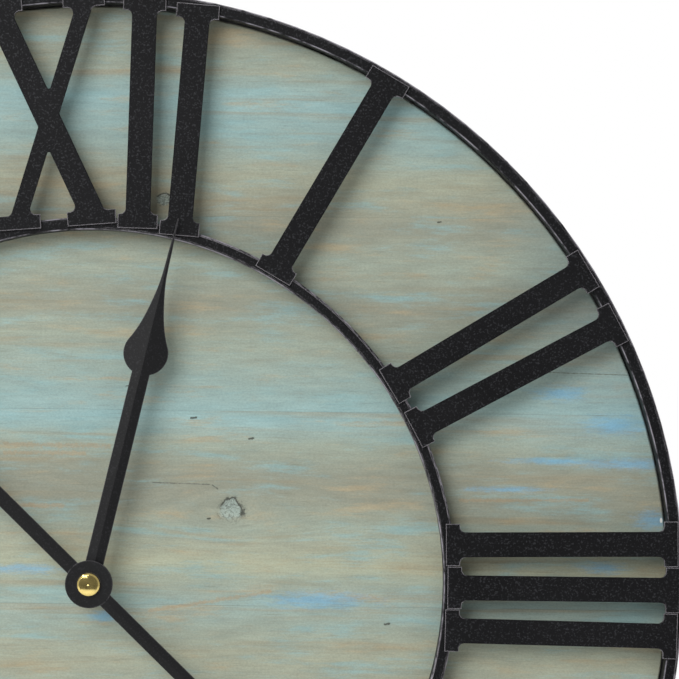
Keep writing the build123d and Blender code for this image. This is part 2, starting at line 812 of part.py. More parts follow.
# ---- wheels
def gear(back, thickness, teeth, module, centre, facing, bore=0.0):
    """Toothed disc with one tooth centred on the clock direction it faces."""
    root = module * (teeth / 2 - 1.25)
    tip = module * (teeth / 2 + 0.8)
    pitch = 360 / teeth
    corners = []
    for tooth in range(teeth):
        middle = facing + tooth * pitch
        for radius, share in ((root, -0.30), (tip, -0.10), (tip, 0.10), (root, 0.30)):
            turn = radians(middle + share * pitch)
            corners.append((radius * sin(turn), radius * cos(turn)))
    with BuildSketch(face(back, 0, centre[1], centre[0]), mode=Mode.PRIVATE) as section:
        with BuildLine():
            Polyline(*corners, close=True)
        make_face()
        if bore:
            Circle(bore, mode=Mode.SUBTRACT)
    extrude(section.sketch, amount=thickness)


def opposite(direction, teeth):
    """Facing that puts a gap, not a tooth, towards the wheel which lies in the direction."""
    return direction + 180 + 180 / teeth


wheel_thickness = 1.0
pinion_thickness = 1.6
pinion_overlap = (pinion_thickness - wheel_thickness) / 2
end_float = 0.2
first_wheel_gap = 0.8
# Six wheels share the depth of the case; each pinion is centred on the wheel it drives.
wheel_pitch = (case_floor - cover_floor - end_float) / 6
step_height = cover_floor + first_wheel_gap
seconds_height = step_height + wheel_pitch
third_height = step_height + 2 * wheel_pitch
centre_height = step_height + 3 * wheel_pitch
minute_height = step_height + 4 * wheel_pitch
hour_height = step_height + 5 * wheel_pitch
pivot_back = cover_floor - pivot_depth
pivot_front = case_floor + pivot_depth

with BuildPart() as hour_wheel:
    gear(hour_height, wheel_thickness, hour_teeth, hour_module, (0, 0), 90, hour_tube_bore)
    tube(hour_height, hour_disc_front + 0.3, hour_tube_radius, hour_tube_bore)
save(hour_wheel, "hour_wheel")

with BuildPart() as hour_collet:
    collet_back = stem_front + 0.4
    tube(collet_back, hour_disc_back, hour_tube_radius + 1.6, hour_tube_radius + fit_clearance)
    tube(hour_disc_back - 0.6, hour_disc_back, hour_tube_radius + 3.4,
         hour_tube_radius + fit_clearance)
save(hour_collet, "hour_collet")

with BuildPart() as centre_wheel:
    gear(centre_height, wheel_thickness, centre_teeth, train_module, (0, 0), third_direction)
    gear(minute_height - pinion_overlap, pinion_thickness, cannon_teeth, cannon_module,
         (0, 0), 90)
    tube(pivot_back, centre_height, knob_arbor_radius)
    tube(centre_height, minute_disc_back, arbor_radius)
    tube(minute_disc_back, cap_front - 1.4, arbor_tip_radius)
save(centre_wheel, "centre_wheel")

with BuildPart() as minute_wheel:
    x, z = minute_centre
    gear(minute_height, wheel_thickness, minute_teeth, cannon_module, minute_centre,
         opposite(90, minute_teeth))
    gear(hour_height - pinion_overlap, pinion_thickness, minute_pinion_teeth, hour_module,
         minute_centre, opposite(90, minute_pinion_teeth))
    tube(case_back - knob_height * 0.6, minute_height, knob_arbor_radius, 0, x, z)
    tube(minute_height, pivot_front, pivot_radius, 0, x, z)
save(minute_wheel, "minute_wheel")

with BuildPart() as setting_knob:
    knob_front = case_back - knob_gap
    x, z = minute_centre
    tube(knob_front - knob_height, knob_front, knob_radius, 0, x, z)
    chamfer(setting_knob.edges().filter_by(GeomType.CIRCLE), knob_chamfer)
    with BuildSketch(face(knob_front - knob_height, 0, z, x)):
        with PolarLocations(knob_radius, flute_count):
            Circle(flute_radius)
    extrude(amount=knob_height, mode=Mode.SUBTRACT)
    with BuildSketch(face(case_back - knob_height * 0.6, 0, z, x)):
        Circle(knob_arbor_radius + fit_clearance)
    extrude(amount=knob_height, mode=Mode.SUBTRACT)
save(setting_knob, "setting_knob")


def train_wheel(name, centre, wheel_height, teeth, module, wheel_facing,
                pinion_height, pinion_teeth, pinion_module, pinion_facing):
    """Wheel and pinion on one thin arbor that runs from the cover to the front case."""
    with BuildPart() as wheel:
        gear(wheel_height, wheel_thickness, teeth, module, centre, wheel_facing)
        gear(pinion_height - pinion_overlap, pinion_thickness, pinion_teeth, pinion_module,
             centre, pinion_facing)
        low = min(wheel_height, pinion_height) + wheel_thickness / 2
        high = max(wheel_height, pinion_height) + wheel_thickness / 2
        tube(low, high, pivot_radius + 0.15, 0, *centre)
        tube(pivot_back, pivot_front, pivot_radius, 0, *centre)
    save(wheel, name)


train_wheel("third_wheel", third_centre, third_height, third_teeth, third_module,
            seconds_direction, centre_height, third_pinion_teeth, train_module,
            opposite(third_direction, third_pinion_teeth))
train_wheel("seconds_wheel", seconds_centre, seconds_height, seconds_teeth, train_module,
            step_direction, third_height, seconds_pinion_teeth, third_module,
            opposite(seconds_direction, seconds_pinion_teeth))
train_wheel("step_wheel", step_centre, step_height, step_teeth, train_module,
            rotor_direction, seconds_height, step_pinion_teeth, train_module,
            opposite(step_direction, step_pinion_teeth))

# ---- stepping motor: rotor, magnet, stator, coil
magnet_radius = 2.5
magnet_height = 3.0
magnet_back = cover_floor + 3.0
stator_back = magnet_back + magnet_height / 3
stator_front = stator_back + magnet_height / 3
stator_hole_radius = magnet_radius + 0.4
with BuildPart() as rotor:
    gear(step_height - pinion_overlap, pinion_thickness, rotor_teeth, train_module,
         rotor_centre, opposite(rotor_direction, rotor_teeth))
    tube(pivot_back, pivot_front, pivot_radius, 0, *rotor_centre)
save(rotor, "rotor")

with BuildPart() as rotor_magnet:
    tube(magnet_back, magnet_back + magnet_height, magnet_radius,
         pivot_radius + fit_clearance, *rotor_centre)
save(rotor_magnet, "rotor_magnet")

stator_left = rotor_centre[0] - stator_hole_radius - 1.0
stator_right = case_width / 2 - 3.0
stator_low = rotor_centre[1] - stator_hole_radius - 1.0
stator_high = rotor_centre[1] + stator_hole_radius + 0.9
ear_top = case_width / 2 - 3.8
ear_width = 1.4
coil_z = ear_top - 1.6
coil_left = stator_left + ear_width + 0.2
coil_right = stator_right - ear_width - 0.8
coil_radius = 2.9
flange_radius = 3.2
flange_thickness = 0.8
core_thickness = 0.8
core_width = 2.0
coil_height = stator_front + core_thickness / 2
with BuildPart() as stator:
    with BuildSketch(face(stator_back)):
        with Locations(((stator_left + stator_right) / 2, (stator_low + stator_high) / 2)):
            Rectangle(stator_right - stator_left, stator_high - stator_low)
        for x in (stator_left + ear_width / 2, stator_right - ear_width / 2):
            with Locations((x, (stator_low + ear_top) / 2)):
                Rectangle(ear_width, ear_top - stator_low)
        with Locations(rotor_centre):
            Circle(stator_hole_radius, mode=Mode.SUBTRACT)
    extrude(amount=stator_front - stator_back)
save(stator, "stator")

with BuildPart() as coil_core:
    with BuildSketch(face(stator_front, 0, coil_z, (stator_left + stator_right) / 2)):
        Rectangle(stator_right - stator_left, core_width)
    extrude(amount=core_thickness)
save(coil_core, "coil_core")

along_coil = Plane((coil_left, wall - coil_height, coil_z), x_dir=(0, 0, 1), z_dir=(1, 0, 0))
coil_length = coil_right - coil_left
with BuildPart() as coil_bobbin:
    with BuildSketch(along_coil):
        Circle(coil_radius * 0.55)
    extrude(amount=coil_length)
    for start in (0, coil_length - flange_thickness):
        with BuildSketch(along_coil.offset(start)):
            Circle(flange_radius)
        extrude(amount=flange_thickness)
    with BuildSketch(along_coil):
        Rectangle(core_width + 0.1, core_thickness + 0.1)
    extrude(amount=coil_length, mode=Mode.SUBTRACT)
save(coil_bobbin, "coil_bobbin")

with BuildPart() as coil_winding:
    with BuildSketch(along_coil.offset(flange_thickness)):
        Circle(coil_radius)
        Circle(coil_radius * 0.55 + 0.02, mode=Mode.SUBTRACT)
    extrude(amount=coil_length - 2 * flange_thickness)
save(coil_winding, "coil_winding")

# ---- circuit board with its chip and crystal
circuit_thickness = 0.8
circuit_front = circuit_back + circuit_thickness
circuit_width = 13.0
circuit_length = 34.0
chip_place = 12.0
circuit_middle = (post_x + 4.0, 8.5)
with BuildPart() as circuit_board:
    with BuildSketch(face(circuit_back, 0, circuit_middle[1], circuit_middle[0])):
        RectangleRounded(circuit_width, circuit_length, 1)
    extrude(amount=circuit_thickness)
save(circuit_board, "circuit_board")

with BuildPart() as circuit_chip:
    with BuildSketch(face(circuit_front, 0, chip_place, circuit_middle[0])):
        Ellipse(3.4, 2.8)
    extrude(amount=1.0)
    fillet(circuit_chip.edges().group_by(Axis.Y)[0], 0.5)
save(circuit_chip, "circuit_chip")

crystal_radius = 1.0
with BuildPart() as quartz_crystal:
    crystal_height = circuit_front + crystal_radius + 0.02
    upright = Plane((circuit_middle[0], wall - crystal_height, -4), z_dir=(0, 0, 1))
    with BuildSketch(upright):
        Circle(crystal_radius)
    extrude(amount=6)
    fillet(quartz_crystal.edges().group_by(Axis.Z)[-1], 0.3)
save(quartz_crystal, "quartz_crystal")

# ---- battery and its two contacts
nub_length = 1.3
nub_radius = 2.75
battery_end = Plane(
    (-battery_length / 2, wall - battery_height, -battery_drop), x_dir=(0, 0, 1), z_dir=(1, 0, 0)
)
with BuildPart() as battery:
    with BuildSketch(battery_end):
        Circle(battery_radius)
    extrude(amount=battery_length - nub_length)
    fillet(battery.edges().filter_by(GeomType.CIRCLE), 0.5)
    with BuildSketch(battery_end.offset(battery_length - nub_length - 0.1)):
        Circle(nub_radius)
    extrude(amount=nub_length + 0.1)
save(battery, "battery")

contact_gap = 0.05
contact_width = 4.0
contact_top = trough_top + case_wall + 1.2
lead_back = cover_floor + 0.4
lead_width = 1.6
for side, reach, name in ((1, 40.0, "positive_contact"), (-1, 6.0, "negative_contact")):
    near = side * (battery_length / 2 + contact_gap)
    far = near + side * contact_thickness
    low = -battery_drop - contact_width
    with BuildPart() as contact:
        with BuildSketch(face(battery_height - contact_width / 2, 0, (low + contact_top) / 2,
                              (near + far) / 2)):
            Rectangle(contact_thickness, contact_top - low)
        extrude(amount=contact_width)
        with BuildSketch(face(lead_back, 0, contact_top - 1, (near + far) / 2)):
            Rectangle(contact_thickness, 2)
        extrude(amount=battery_height - lead_back)
        with BuildSketch(face(lead_back, 0, contact_top - contact_thickness / 2,
                              far - side * reach / 2)):
            Rectangle(reach, contact_thickness)
        extrude(amount=lead_width)
    save(contact, name)
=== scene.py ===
import math

import bmesh
import bpy
from bpy.props import FloatProperty, FloatVectorProperty, IntProperty, PointerProperty
from mathutils import Matrix, Vector
from mathutils.bvhtree import BVHTree


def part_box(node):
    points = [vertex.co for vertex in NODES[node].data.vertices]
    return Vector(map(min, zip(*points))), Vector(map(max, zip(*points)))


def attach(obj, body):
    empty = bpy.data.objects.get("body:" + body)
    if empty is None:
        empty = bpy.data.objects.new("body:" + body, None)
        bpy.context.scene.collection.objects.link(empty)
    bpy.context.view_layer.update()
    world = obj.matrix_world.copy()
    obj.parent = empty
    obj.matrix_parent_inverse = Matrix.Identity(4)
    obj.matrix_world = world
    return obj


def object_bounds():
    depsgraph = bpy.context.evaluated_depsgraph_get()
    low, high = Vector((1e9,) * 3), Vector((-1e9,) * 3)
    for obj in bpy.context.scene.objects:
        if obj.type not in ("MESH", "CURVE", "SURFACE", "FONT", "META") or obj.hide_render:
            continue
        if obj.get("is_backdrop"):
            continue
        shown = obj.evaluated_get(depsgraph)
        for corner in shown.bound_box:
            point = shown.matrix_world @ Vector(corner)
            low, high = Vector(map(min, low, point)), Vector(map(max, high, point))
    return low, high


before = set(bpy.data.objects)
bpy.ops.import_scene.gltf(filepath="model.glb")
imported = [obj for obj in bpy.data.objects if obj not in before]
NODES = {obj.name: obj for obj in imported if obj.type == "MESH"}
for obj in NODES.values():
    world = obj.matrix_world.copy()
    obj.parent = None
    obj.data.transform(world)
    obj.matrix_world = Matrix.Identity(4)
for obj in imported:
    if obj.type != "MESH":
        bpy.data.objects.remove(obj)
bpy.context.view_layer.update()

bl_info = {
    "name": "Open Wall Clock",
    "version": (1, 0, 0),
    "blender": (4, 5, 0),
    "location": "View3D > Sidebar > Wall Clock",
    "description": "Finishes an open Roman wall clock with a washed pine board",
    "category": "Object",
}

BOARD_LOW, BOARD_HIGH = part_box("dial_board")
NUMERALS = tuple(f"numeral_{hour}" for hour in range(1, 13))
BLACK_STEEL = ("outer_ring", "inner_ring", "outer_ring_tabs", "inner_ring_lugs")


# ---------------------------------------------------------------- node wiring

def tone(red, green, blue):
    """A display colour from 0 to 255, as the linear colour that a shader takes."""
    def linear(part):
        part /= 255
        return part / 12.92 if part <= 0.04045 else ((part + 0.055) / 1.055) ** 2.4
    return (linear(red), linear(green), linear(blue), 1.0)


def opaque(colour):
    """A setting's colour with full alpha."""
    return tuple(colour) + (1.0,)


class Wires:
    """Adds nodes to one tree and joins them. An argument is a socket or a plain number."""

    def __init__(self, tree):
        self.tree = tree

    def feed(self, socket, value):
        if isinstance(value, bpy.types.NodeSocket):
            self.tree.links.new(value, socket)
        elif value is not None:
            socket.default_value = value

    def node(self, kind, **settings):
        made = self.tree.nodes.new(kind)
        for name, value in settings.items():
            setattr(made, name, value)
        return made

    def math(self, operation, first, second=None, third=None):
        made = self.node("ShaderNodeMath", operation=operation)
        for socket, value in zip(made.inputs, (first, second, third)):
            self.feed(socket, value)
        return made.outputs[0]

    def times(self, first, second):
        return self.math("MULTIPLY", first, second)

    def plus(self, first, second):
        return self.math("ADD", first, second)

    def minus(self, first, second):
        return self.math("SUBTRACT", first, second)

    def invert(self, mask):
        """1 where a mask is 0, and 0 where it is 1."""
        return self.minus(1.0, mask)

    def sway(self, noise, reach):
        """A noise from 0 to 1 as a shift to both sides, reach from end to end."""
        return self.times(self.minus(noise, 0.5), reach)

    def fold(self, operation, values):
        """One operation over a whole list, such as its sum or its largest value."""
        folded = values[0]
        for value in values[1:]:
            folded = self.math(operation, folded, value)
        return folded

    def vector(self, operation, first, second=None):
        made = self.node("ShaderNodeVectorMath", operation=operation)
        self.feed(made.inputs[0], first)
        self.feed(made.inputs[1], second)
        return made.outputs["Value" if operation in ("LENGTH", "DOT_PRODUCT") else "Vector"]

    def split(self, vector):
        made = self.node("ShaderNodeSeparateXYZ")
        self.feed(made.inputs[0], vector)
        return made.outputs[0], made.outputs[1], made.outputs[2]

    def join(self, x, y, z):
        made = self.node("ShaderNodeCombineXYZ")
        for socket, value in zip(made.inputs, (x, y, z)):
            self.feed(socket, value)
        return made.outputs[0]

    def noise(self, vector, scale, detail=3.0, roughness=0.5, distortion=0.0):
        made = self.node("ShaderNodeTexNoise")
        for name, value in (
            ("Vector", vector), ("Scale", scale), ("Detail", detail),
            ("Roughness", roughness), ("Distortion", distortion),
        ):
            self.feed(made.inputs[name], value)
        return made.outputs["Fac"]

    def step(self, value, low, high):
        """0 below low and 1 above high, with a smooth rise between."""
        made = self.node("ShaderNodeMapRange", interpolation_type="SMOOTHSTEP")
        for name, number in (("Value", value), ("From Min", low), ("From Max", high)):
            self.feed(made.inputs[name], number)
        return made.outputs[0]

    def span(self, value, low, high, start, end):
        """A straight change from start to end as the value goes from low to high."""
        made = self.node("ShaderNodeMapRange")
        names = ("Value", "From Min", "From Max", "To Min", "To Max")
        for name, number in zip(names, (value, low, high, start, end)):
            self.feed(made.inputs[name], number)
        return made.outputs[0]

    def ramp(self, value, stops):
        made = self.node("ShaderNodeValToRGB")
        elements = made.color_ramp.elements
        while len(elements) < len(stops):
            elements.new(0.5)
        for element, (place, colour) in zip(elements, stops):
            element.position = place
            element.color = colour
        self.feed(made.inputs[0], value)
        return made.outputs[0]

    def mix(self, factor, first, second, blend="MIX"):
        made = self.node("ShaderNodeMix", data_type="RGBA", blend_type=blend)
        self.feed(made.inputs["Factor"], factor)
        self.feed(made.inputs[6], first)
        self.feed(made.inputs[7], second)
        return made.outputs[2]

    def tint(self, colour, mask, strength, paint):
        """A colour with paint laid over it where the mask is, at most as strong as strength."""
        return self.mix(self.times(mask, strength), colour, paint)

    def bump(self, height, strength, distance, normal=None):
        made = self.node("ShaderNodeBump")
        for name, value in (
            ("Height", height), ("Strength", strength), ("Distance", distance), ("Normal", normal),
        ):
            self.feed(made.inputs[name], value)
        return made.outputs[0]

    def group(self, name, **inputs):
        made = self.node("ShaderNodeGroup", node_tree=bpy.data.node_groups[name])
        for label, value in inputs.items():
            self.feed(made.inputs[label.replace("_", " ")], value)
        return made.outputs


def new_group(name, inputs, outputs):
    """An empty shader group with named sockets, its wires, its input node and its output node."""
    tree = bpy.data.node_groups.new(name, "ShaderNodeTree")
    for label, kind, value in inputs:
        socket = tree.interface.new_socket(name=label, in_out="INPUT", socket_type=kind)
        if value is not None:
            socket.default_value = value
    for label, kind in outputs:
        tree.interface.new_socket(name=label, in_out="OUTPUT", socket_type=kind)
    source = tree.nodes.new("NodeGroupInput")
    sink = tree.nodes.new("NodeGroupOutput")
    return Wires(tree), source.outputs, sink.inputs


NUMBER, PLACE = "NodeSocketFloat", "NodeSocketVector"


def make_fibre_group():
    """Wood figure along X: broad rings, thin late-wood lines, fibres and pores."""
    w, given, out = new_group(
        "wood_fibre",
        (("Place", PLACE, None), ("Ring Count", NUMBER, 90.0), ("Waviness", NUMBER, 0.006)),
        (("Rings", NUMBER), ("Late Wood", NUMBER), ("Fibres", NUMBER), ("Pores", NUMBER)),
    )
    x, y, z = w.split(given["Place"])
    drift = w.noise(w.vector("MULTIPLY", given["Place"], (2.2, 6.0, 7.0)), 1.0, 2.0)
    z = w.plus(z, w.sway(drift, given["Waviness"]))
    shake = w.noise(w.vector("MULTIPLY", given["Place"], (26.0, 9.0, 60.0)), 1.0, 2.0)
    z = w.plus(z, w.sway(shake, 0.0016))
    count = w.times(z, given["Ring Count"])
    rings = w.noise(w.join(w.times(x, 3.2), w.times(y, 20.0), count), 1.0, 4.0, 0.6)
    fine = w.join(w.times(x, 9.0), w.times(y, 40.0), w.times(count, 2.6))
    late = w.step(w.noise(fine, 1.0, 2.0, 0.55), 0.52, 0.70)
    thread = w.join(w.times(x, 90.0), w.times(y, 300.0), w.times(z, 1700.0))
    pores = w.join(w.times(x, 60.0), w.times(y, 300.0), w.times(z, 1300.0))
    w.feed(out["Rings"], rings)
    w.feed(out["Late Wood"], late)
    w.feed(out["Fibres"], w.noise(thread, 1.0, 2.0, 0.6))
    w.feed(out["Pores"], w.step(w.noise(pores, 1.0, 1.0), 0.68, 0.76))


def make_knot_group():
    """One knot: its dark bark ring, its middle, and the place moved so that grain goes round it."""
    w, given, out = new_group(
        "pine_knot",
        (("Place", PLACE, None), ("Centre", PLACE, None), ("Radius", NUMBER, 0.006)),
        (("Place", PLACE), ("Bark", NUMBER), ("Middle", NUMBER)),
    )
    away = w.vector("MULTIPLY", w.vector("SUBTRACT", given["Place"], given["Centre"]), (1.0, 0.0, 1.1))
    rough = w.noise(given["Place"], 330.0, 3.0, 0.65)
    lobes = w.noise(given["Place"], 110.0, 2.0, 0.5)
    reach = w.math("DIVIDE", w.vector("LENGTH", away), given["Radius"])
    ragged = w.plus(reach, w.sway(rough, 0.7))
    ragged = w.plus(ragged, w.sway(lobes, 0.9))
    lean = w.vector("DOT_PRODUCT", w.vector("NORMALIZE", away), (0.50, 0.0, 0.86))
    lean = w.plus(lean, w.sway(rough, 1.8))
    x, y, z = w.split(away)
    flat = w.vector("LENGTH", w.join(w.times(x, 0.42), 0.0, z))
    near = w.math("DIVIDE", flat, given["Radius"])
    pull = w.math("EXPONENT", w.times(w.times(near, near), -0.22))
    bend = w.join(0.0, 0.0, w.times(w.times(z, pull), -0.72))
    w.feed(out["Place"], w.vector("ADD", given["Place"], bend))
    inside = w.step(ragged, 0.74, 0.86)
    outside = w.step(ragged, 0.90, 1.10)
    ring = w.times(inside, w.invert(outside))
    ring = w.times(ring, w.step(lean, -0.60, 0.10))
    swirl = w.noise(given["Place"], 250.0, 3.0, 0.6, 1.2)
    vein = w.invert(w.step(w.math("ABSOLUTE", w.minus(swirl, 0.5)), 0.012, 0.045))
    vein = w.times(vein, w.invert(w.step(ragged, 0.80, 1.35)))
    w.feed(out["Bark"], w.math("MAXIMUM", ring, w.times(vein, 0.6)))
    w.feed(out["Middle"], w.invert(w.step(ragged, 0.70, 1.05)))


def make_patch_group():
    """A soft streaky patch of stain round a centre, longer along the grain."""
    w, given, out = new_group(
        "stain_patch",
        (("Place", PLACE, None), ("Centre", PLACE, None), ("Reach", PLACE, (0.02, 1.0, 0.005))),
        (("Mask", NUMBER),),
    )
    away = w.vector("DIVIDE", w.vector("SUBTRACT", given["Place"], given["Centre"]), given["Reach"])
    away = w.vector("MULTIPLY", away, (1.0, 0.0, 1.0))
    streak = w.noise(w.vector("MULTIPLY", given["Place"], (95.0, 1.0, 520.0)), 1.0, 4.0, 0.75)
    edge = w.plus(w.vector("LENGTH", away), w.sway(streak, 3.4))
    w.feed(out["Mask"], w.invert(w.step(edge, 0.0, 1.45)))


def make_coat_group():
    """Fine-textured powder coat: its peel, its light flecks, which are partly the coat's own pale specks
    and partly painted sparkle, and a slow change of shade.
    """
    w, given, out = new_group(
        "powder_texture",
        (("Place", PLACE, None), ("Grain", NUMBER, 1500.0)),
        (("Height", NUMBER), ("Specks And Sparkle", NUMBER), ("Shade", NUMBER)),
    )
    peel = w.noise(given["Place"], given["Grain"], 2.0, 0.6)
    specks_and_sparkle = w.noise(w.vector("ADD", given["Place"], (3.1, 1.7, 5.9)), given["Grain"], 1.0)
    w.feed(out["Height"], peel)
    w.feed(out["Specks And Sparkle"], w.step(specks_and_sparkle, 0.53, 0.74))
    w.feed(out["Shade"], w.noise(given["Place"], 24.0, 3.0))


def make_edge_group():
    """Where the surface turns sharply, broken up along its length: edge wear on metal and plastic, painted
    highlight on the powder coat.
    """
    w, given, out = new_group(
        "edge_wear_and_highlight",
        (("Place", PLACE, None), ("Radius", NUMBER, 0.0004)),
        (("Mask", NUMBER),),
    )
    soft = w.node("ShaderNodeBevel", samples=4)
    w.feed(soft.inputs["Radius"], given["Radius"])
    flat = w.node("ShaderNodeNewGeometry").outputs["True Normal"]
    turned = w.invert(w.vector("DOT_PRODUCT", soft.outputs[0], flat))
    broken = w.noise(given["Place"], 700.0, 3.0, 0.6)
    w.feed(out["Mask"], w.step(w.plus(turned, w.times(broken, 0.12)), 0.07, 0.24))


def make_brushed_group():
    """Drawn or brushed metal: streaks along one direction and cloudy plating."""
    w, given, out = new_group(
        "drawn_metal",
        (("Place", PLACE, None), ("Stretch", PLACE, (60.0, 2500.0, 2500.0))),
        (("Streaks", NUMBER), ("Clouds", NUMBER)),
    )
    w.feed(out["Streaks"], w.noise(w.vector("MULTIPLY", given["Place"], given["Stretch"]), 1.0, 3.0, 0.6))
    w.feed(out["Clouds"], w.noise(given["Place"], 210.0, 4.0, 0.6))


def make_dust_group():
    """Thin dust and rubbed spots on plastic and rubber."""
    w, given, out = new_group(
        "settled_dust",
        (("Place", PLACE, None), ("Grain", NUMBER, 2600.0)),
        (("Dust", NUMBER), ("Height", NUMBER)),
    )
    cloud = w.noise(given["Place"], 130.0, 4.0, 0.6)
    w.feed(out["Dust"], w.step(cloud, 0.45, 0.75))
    w.feed(out["Height"], w.noise(given["Place"], given["Grain"], 2.0))


# ---------------------------------------------------------------- materials

def new_material(name, roughness=0.5, metallic=0.0, coat=0.0, specular=0.5):
    """A material with its wires, its shader and the place on the clock in metres."""
    made = bpy.data.materials.new(name)
    made.use_nodes = True
    shader = made.node_tree.nodes["Principled BSDF"]
    shader.inputs["Roughness"].default_value = roughness
    shader.inputs["Metallic"].default_value = metallic
    shader.inputs["Coat Weight"].default_value = coat
    shader.inputs["Specular IOR Level"].default_value = specular
    w = Wires(made.node_tree)
    return made, w, shader.inputs, w.node("ShaderNodeTexCoord").outputs["Object"]


def soft_edge(w, radius):
    """The surface normal, rounded over at sharp edges."""
    made = w.node("ShaderNodeBevel", samples=6)
    w.feed(made.inputs["Radius"], radius)
    return made.outputs[0]


def finish_nodes(material, *names):
    """Puts one material in every slot of the named CAD nodes."""
    for name in names:
        data = NODES[name].data
        if not data.materials:
            data.materials.append(material)
        for place in range(len(data.materials)):
            data.materials[place] = material


# A ring's painted highlight lines: how far they lie inside its corners, and how far back from its face they
# reach.
RIM_INSET = 0.00035
RIM_DEPTH = 0.0020


def rim_highlight(w, place, ring, face):
    """Thin broken lines of painted highlight on the two rounded front corners of a ring."""
    low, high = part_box(ring)
    x, y, z = w.split(place)
    reach = w.vector("LENGTH", w.join(x, 0.0, z))
    corners = (high[0] - RIM_INSET, high[0] - face + RIM_INSET)
    away = [w.math("ABSOLUTE", w.minus(reach, corner)) for corner in corners]
    lines = w.fold("MAXIMUM", [w.invert(w.step(one, 0.00010, 0.00045)) for one in away])
    front = w.math("LESS_THAN", y, low[1] + RIM_DEPTH)
    broken = w.step(w.noise(place, 60.0, 4.0, 0.7), 0.40, 0.58)
    return w.times(w.times(lines, front), broken)


def powder_coat(name, look, edge_highlight, ends_only=False, rings=(), specks_and_sparkle=0.95, specular=0.11):
    """Black powder coat, with a painted highlight along its cut edges: all of them, or only at a plate's
    two ends.
    """
    made, w, shader, place = new_material(name, look.coat_roughness, specular=specular)
    texture = w.group("powder_texture", Place=place, Grain=look.coat_grain)
    base = opaque(look.coat_colour)
    light = opaque(part * 5.0 + 0.010 for part in look.coat_colour)
    # Light flecks: the coat's own pale specks, with its sparkle painted into the colour.
    colour = w.tint(base, texture["Specks And Sparkle"], specks_and_sparkle, light)
    colour = w.mix(w.span(texture["Shade"], 0.3, 0.7, 0.0, 0.10), colour, light)
    edge = w.group("edge_wear_and_highlight", Place=place, Radius=look.edge_softness * 1.6)["Mask"]
    if ends_only:
        x, y, z = w.split(place)
        reach = w.vector("LENGTH", w.join(x, 0.0, z))
        outer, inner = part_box("outer_ring")[1][0] - look.ring_face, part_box("inner_ring")[1][0]
        near = w.invert(w.step(reach, inner + 0.0030, inner + 0.0060))
        edge = w.times(edge, w.plus(near, w.step(reach, outer - 0.0050, outer - 0.0025)))
    # Painted highlight: the edges tinted pale, as if they caught the light.
    colour = w.tint(colour, edge, edge_highlight, tone(176, 172, 178))
    for ring in rings:
        wear_and_glint = rim_highlight(w, place, ring, look.ring_face)
        # Painted highlight: pale broken lines along the rings' front corners.
        colour = w.tint(colour, wear_and_glint, 0.60, tone(172, 168, 178))
    w.feed(shader["Base Color"], colour)
    gloss = w.span(texture["Specks And Sparkle"], 0.0, 1.0, look.coat_roughness, look.coat_roughness - 0.12)
    w.feed(shader["Roughness"], gloss)
    w.feed(shader["Normal"], w.bump(texture["Height"], 0.35, 0.00012, soft_edge(w, look.edge_softness)))
    return made


# Shades of the wash, and the height in metres on the board where each band has its middle.
TEAL, SEA, MIST = (150, 182, 182), (150, 172, 166), (156, 166, 151)
SAND, STRAW, CLAY = (163, 167, 147), (173, 178, 155), (147, 150, 134)
BOARD_BANDS = (
    (-0.300, SEA), (-0.275, MIST), (-0.250, SAND), (-0.225, CLAY), (-0.205, SEA), (-0.185, TEAL),
    (-0.160, MIST), (-0.135, CLAY), (-0.110, SAND), (-0.085, SEA), (-0.060, MIST), (-0.038, SAND),
    (-0.024, MIST), (-0.011, SEA), (-0.002, MIST), (0.008, STRAW), (0.018, SAND), (0.030, MIST),
    (0.042, CLAY), (0.056, CLAY), (0.072, MIST), (0.086, TEAL), (0.102, SEA), (0.124, MIST),
    (0.140, CLAY), (0.165, MIST), (0.186, CLAY), (0.212, SAND), (0.230, SEA), (0.250, TEAL),
    (0.268, MIST), (0.300, CLAY),
)
# Heights of the glued joints between the board's staves.
STAVE_JOINTS = (-0.2140, -0.1130, -0.0118, 0.0890, 0.1900)
JOINT_HALF_WIDTH = 0.00022

# Each mark on the board starts with its place (x, z). Then come a knot's radius, a stain's reach both
# ways, the other end and the width of a crack or figure line, or the size of a speck or near-white spot.
KNOTS = (
    ((0.0722, 0.0378), 0.0070), ((0.0345, 0.1982), 0.0042), ((-0.1210, 0.1440), 0.0062),
    ((-0.0760, -0.1480), 0.0070), ((0.1670, -0.1060), 0.0048), ((-0.2140, -0.0320), 0.0040),
)
BLUE_PATCHES = (
    ((0.2640, 0.0100), (0.012, 0.0030)), ((0.2900, 0.0350), (0.010, 0.0050)),
    ((0.1170, -0.0085), (0.026, 0.0044)), ((0.0070, -0.0180), (0.010, 0.0026)),
    ((-0.0360, 0.0060), (0.022, 0.0026)), ((0.2420, 0.1000), (0.014, 0.0040)),
    ((0.2800, 0.0640), (0.030, 0.0030)), ((0.2150, 0.0500), (0.020, 0.0016)),
    ((0.2380, 0.0650), (0.022, 0.0018)), ((0.2700, 0.0840), (0.016, 0.0050)),
    ((-0.1500, -0.1200), (0.050, 0.0050)), ((-0.2000, 0.0900), (0.040, 0.0045)),
    ((0.0900, -0.2050), (0.045, 0.0050)), ((-0.1200, 0.2350), (0.035, 0.0045)),
)
FIGURE_LINES = (
    ((0.0300, -0.0150), (0.0920, -0.0045), 0.0013), ((-0.0460, 0.0704), (0.0080, 0.0698), 0.0016),
    ((-0.0460, 0.0660), (-0.0050, 0.0664), 0.0014), ((-0.0460, 0.0392), (-0.0160, 0.0388), 0.0015),
    ((0.1900, 0.0440), (0.2560, 0.0450), 0.0011), ((-0.1500, 0.0900), (-0.0800, 0.0960), 0.0012),
    ((0.0200, -0.1700), (0.1100, -0.1620), 0.0013),
)
CRACKS = (
    ((0.0305, 0.0515), (0.0605, 0.0508), 0.00035), ((0.0615, 0.0506), (0.0645, 0.0486), 0.00045),
    ((0.2330, 0.1110), (0.2760, 0.1100), 0.00028), ((-0.1720, 0.0350), (-0.1390, 0.0346), 0.00032),
)
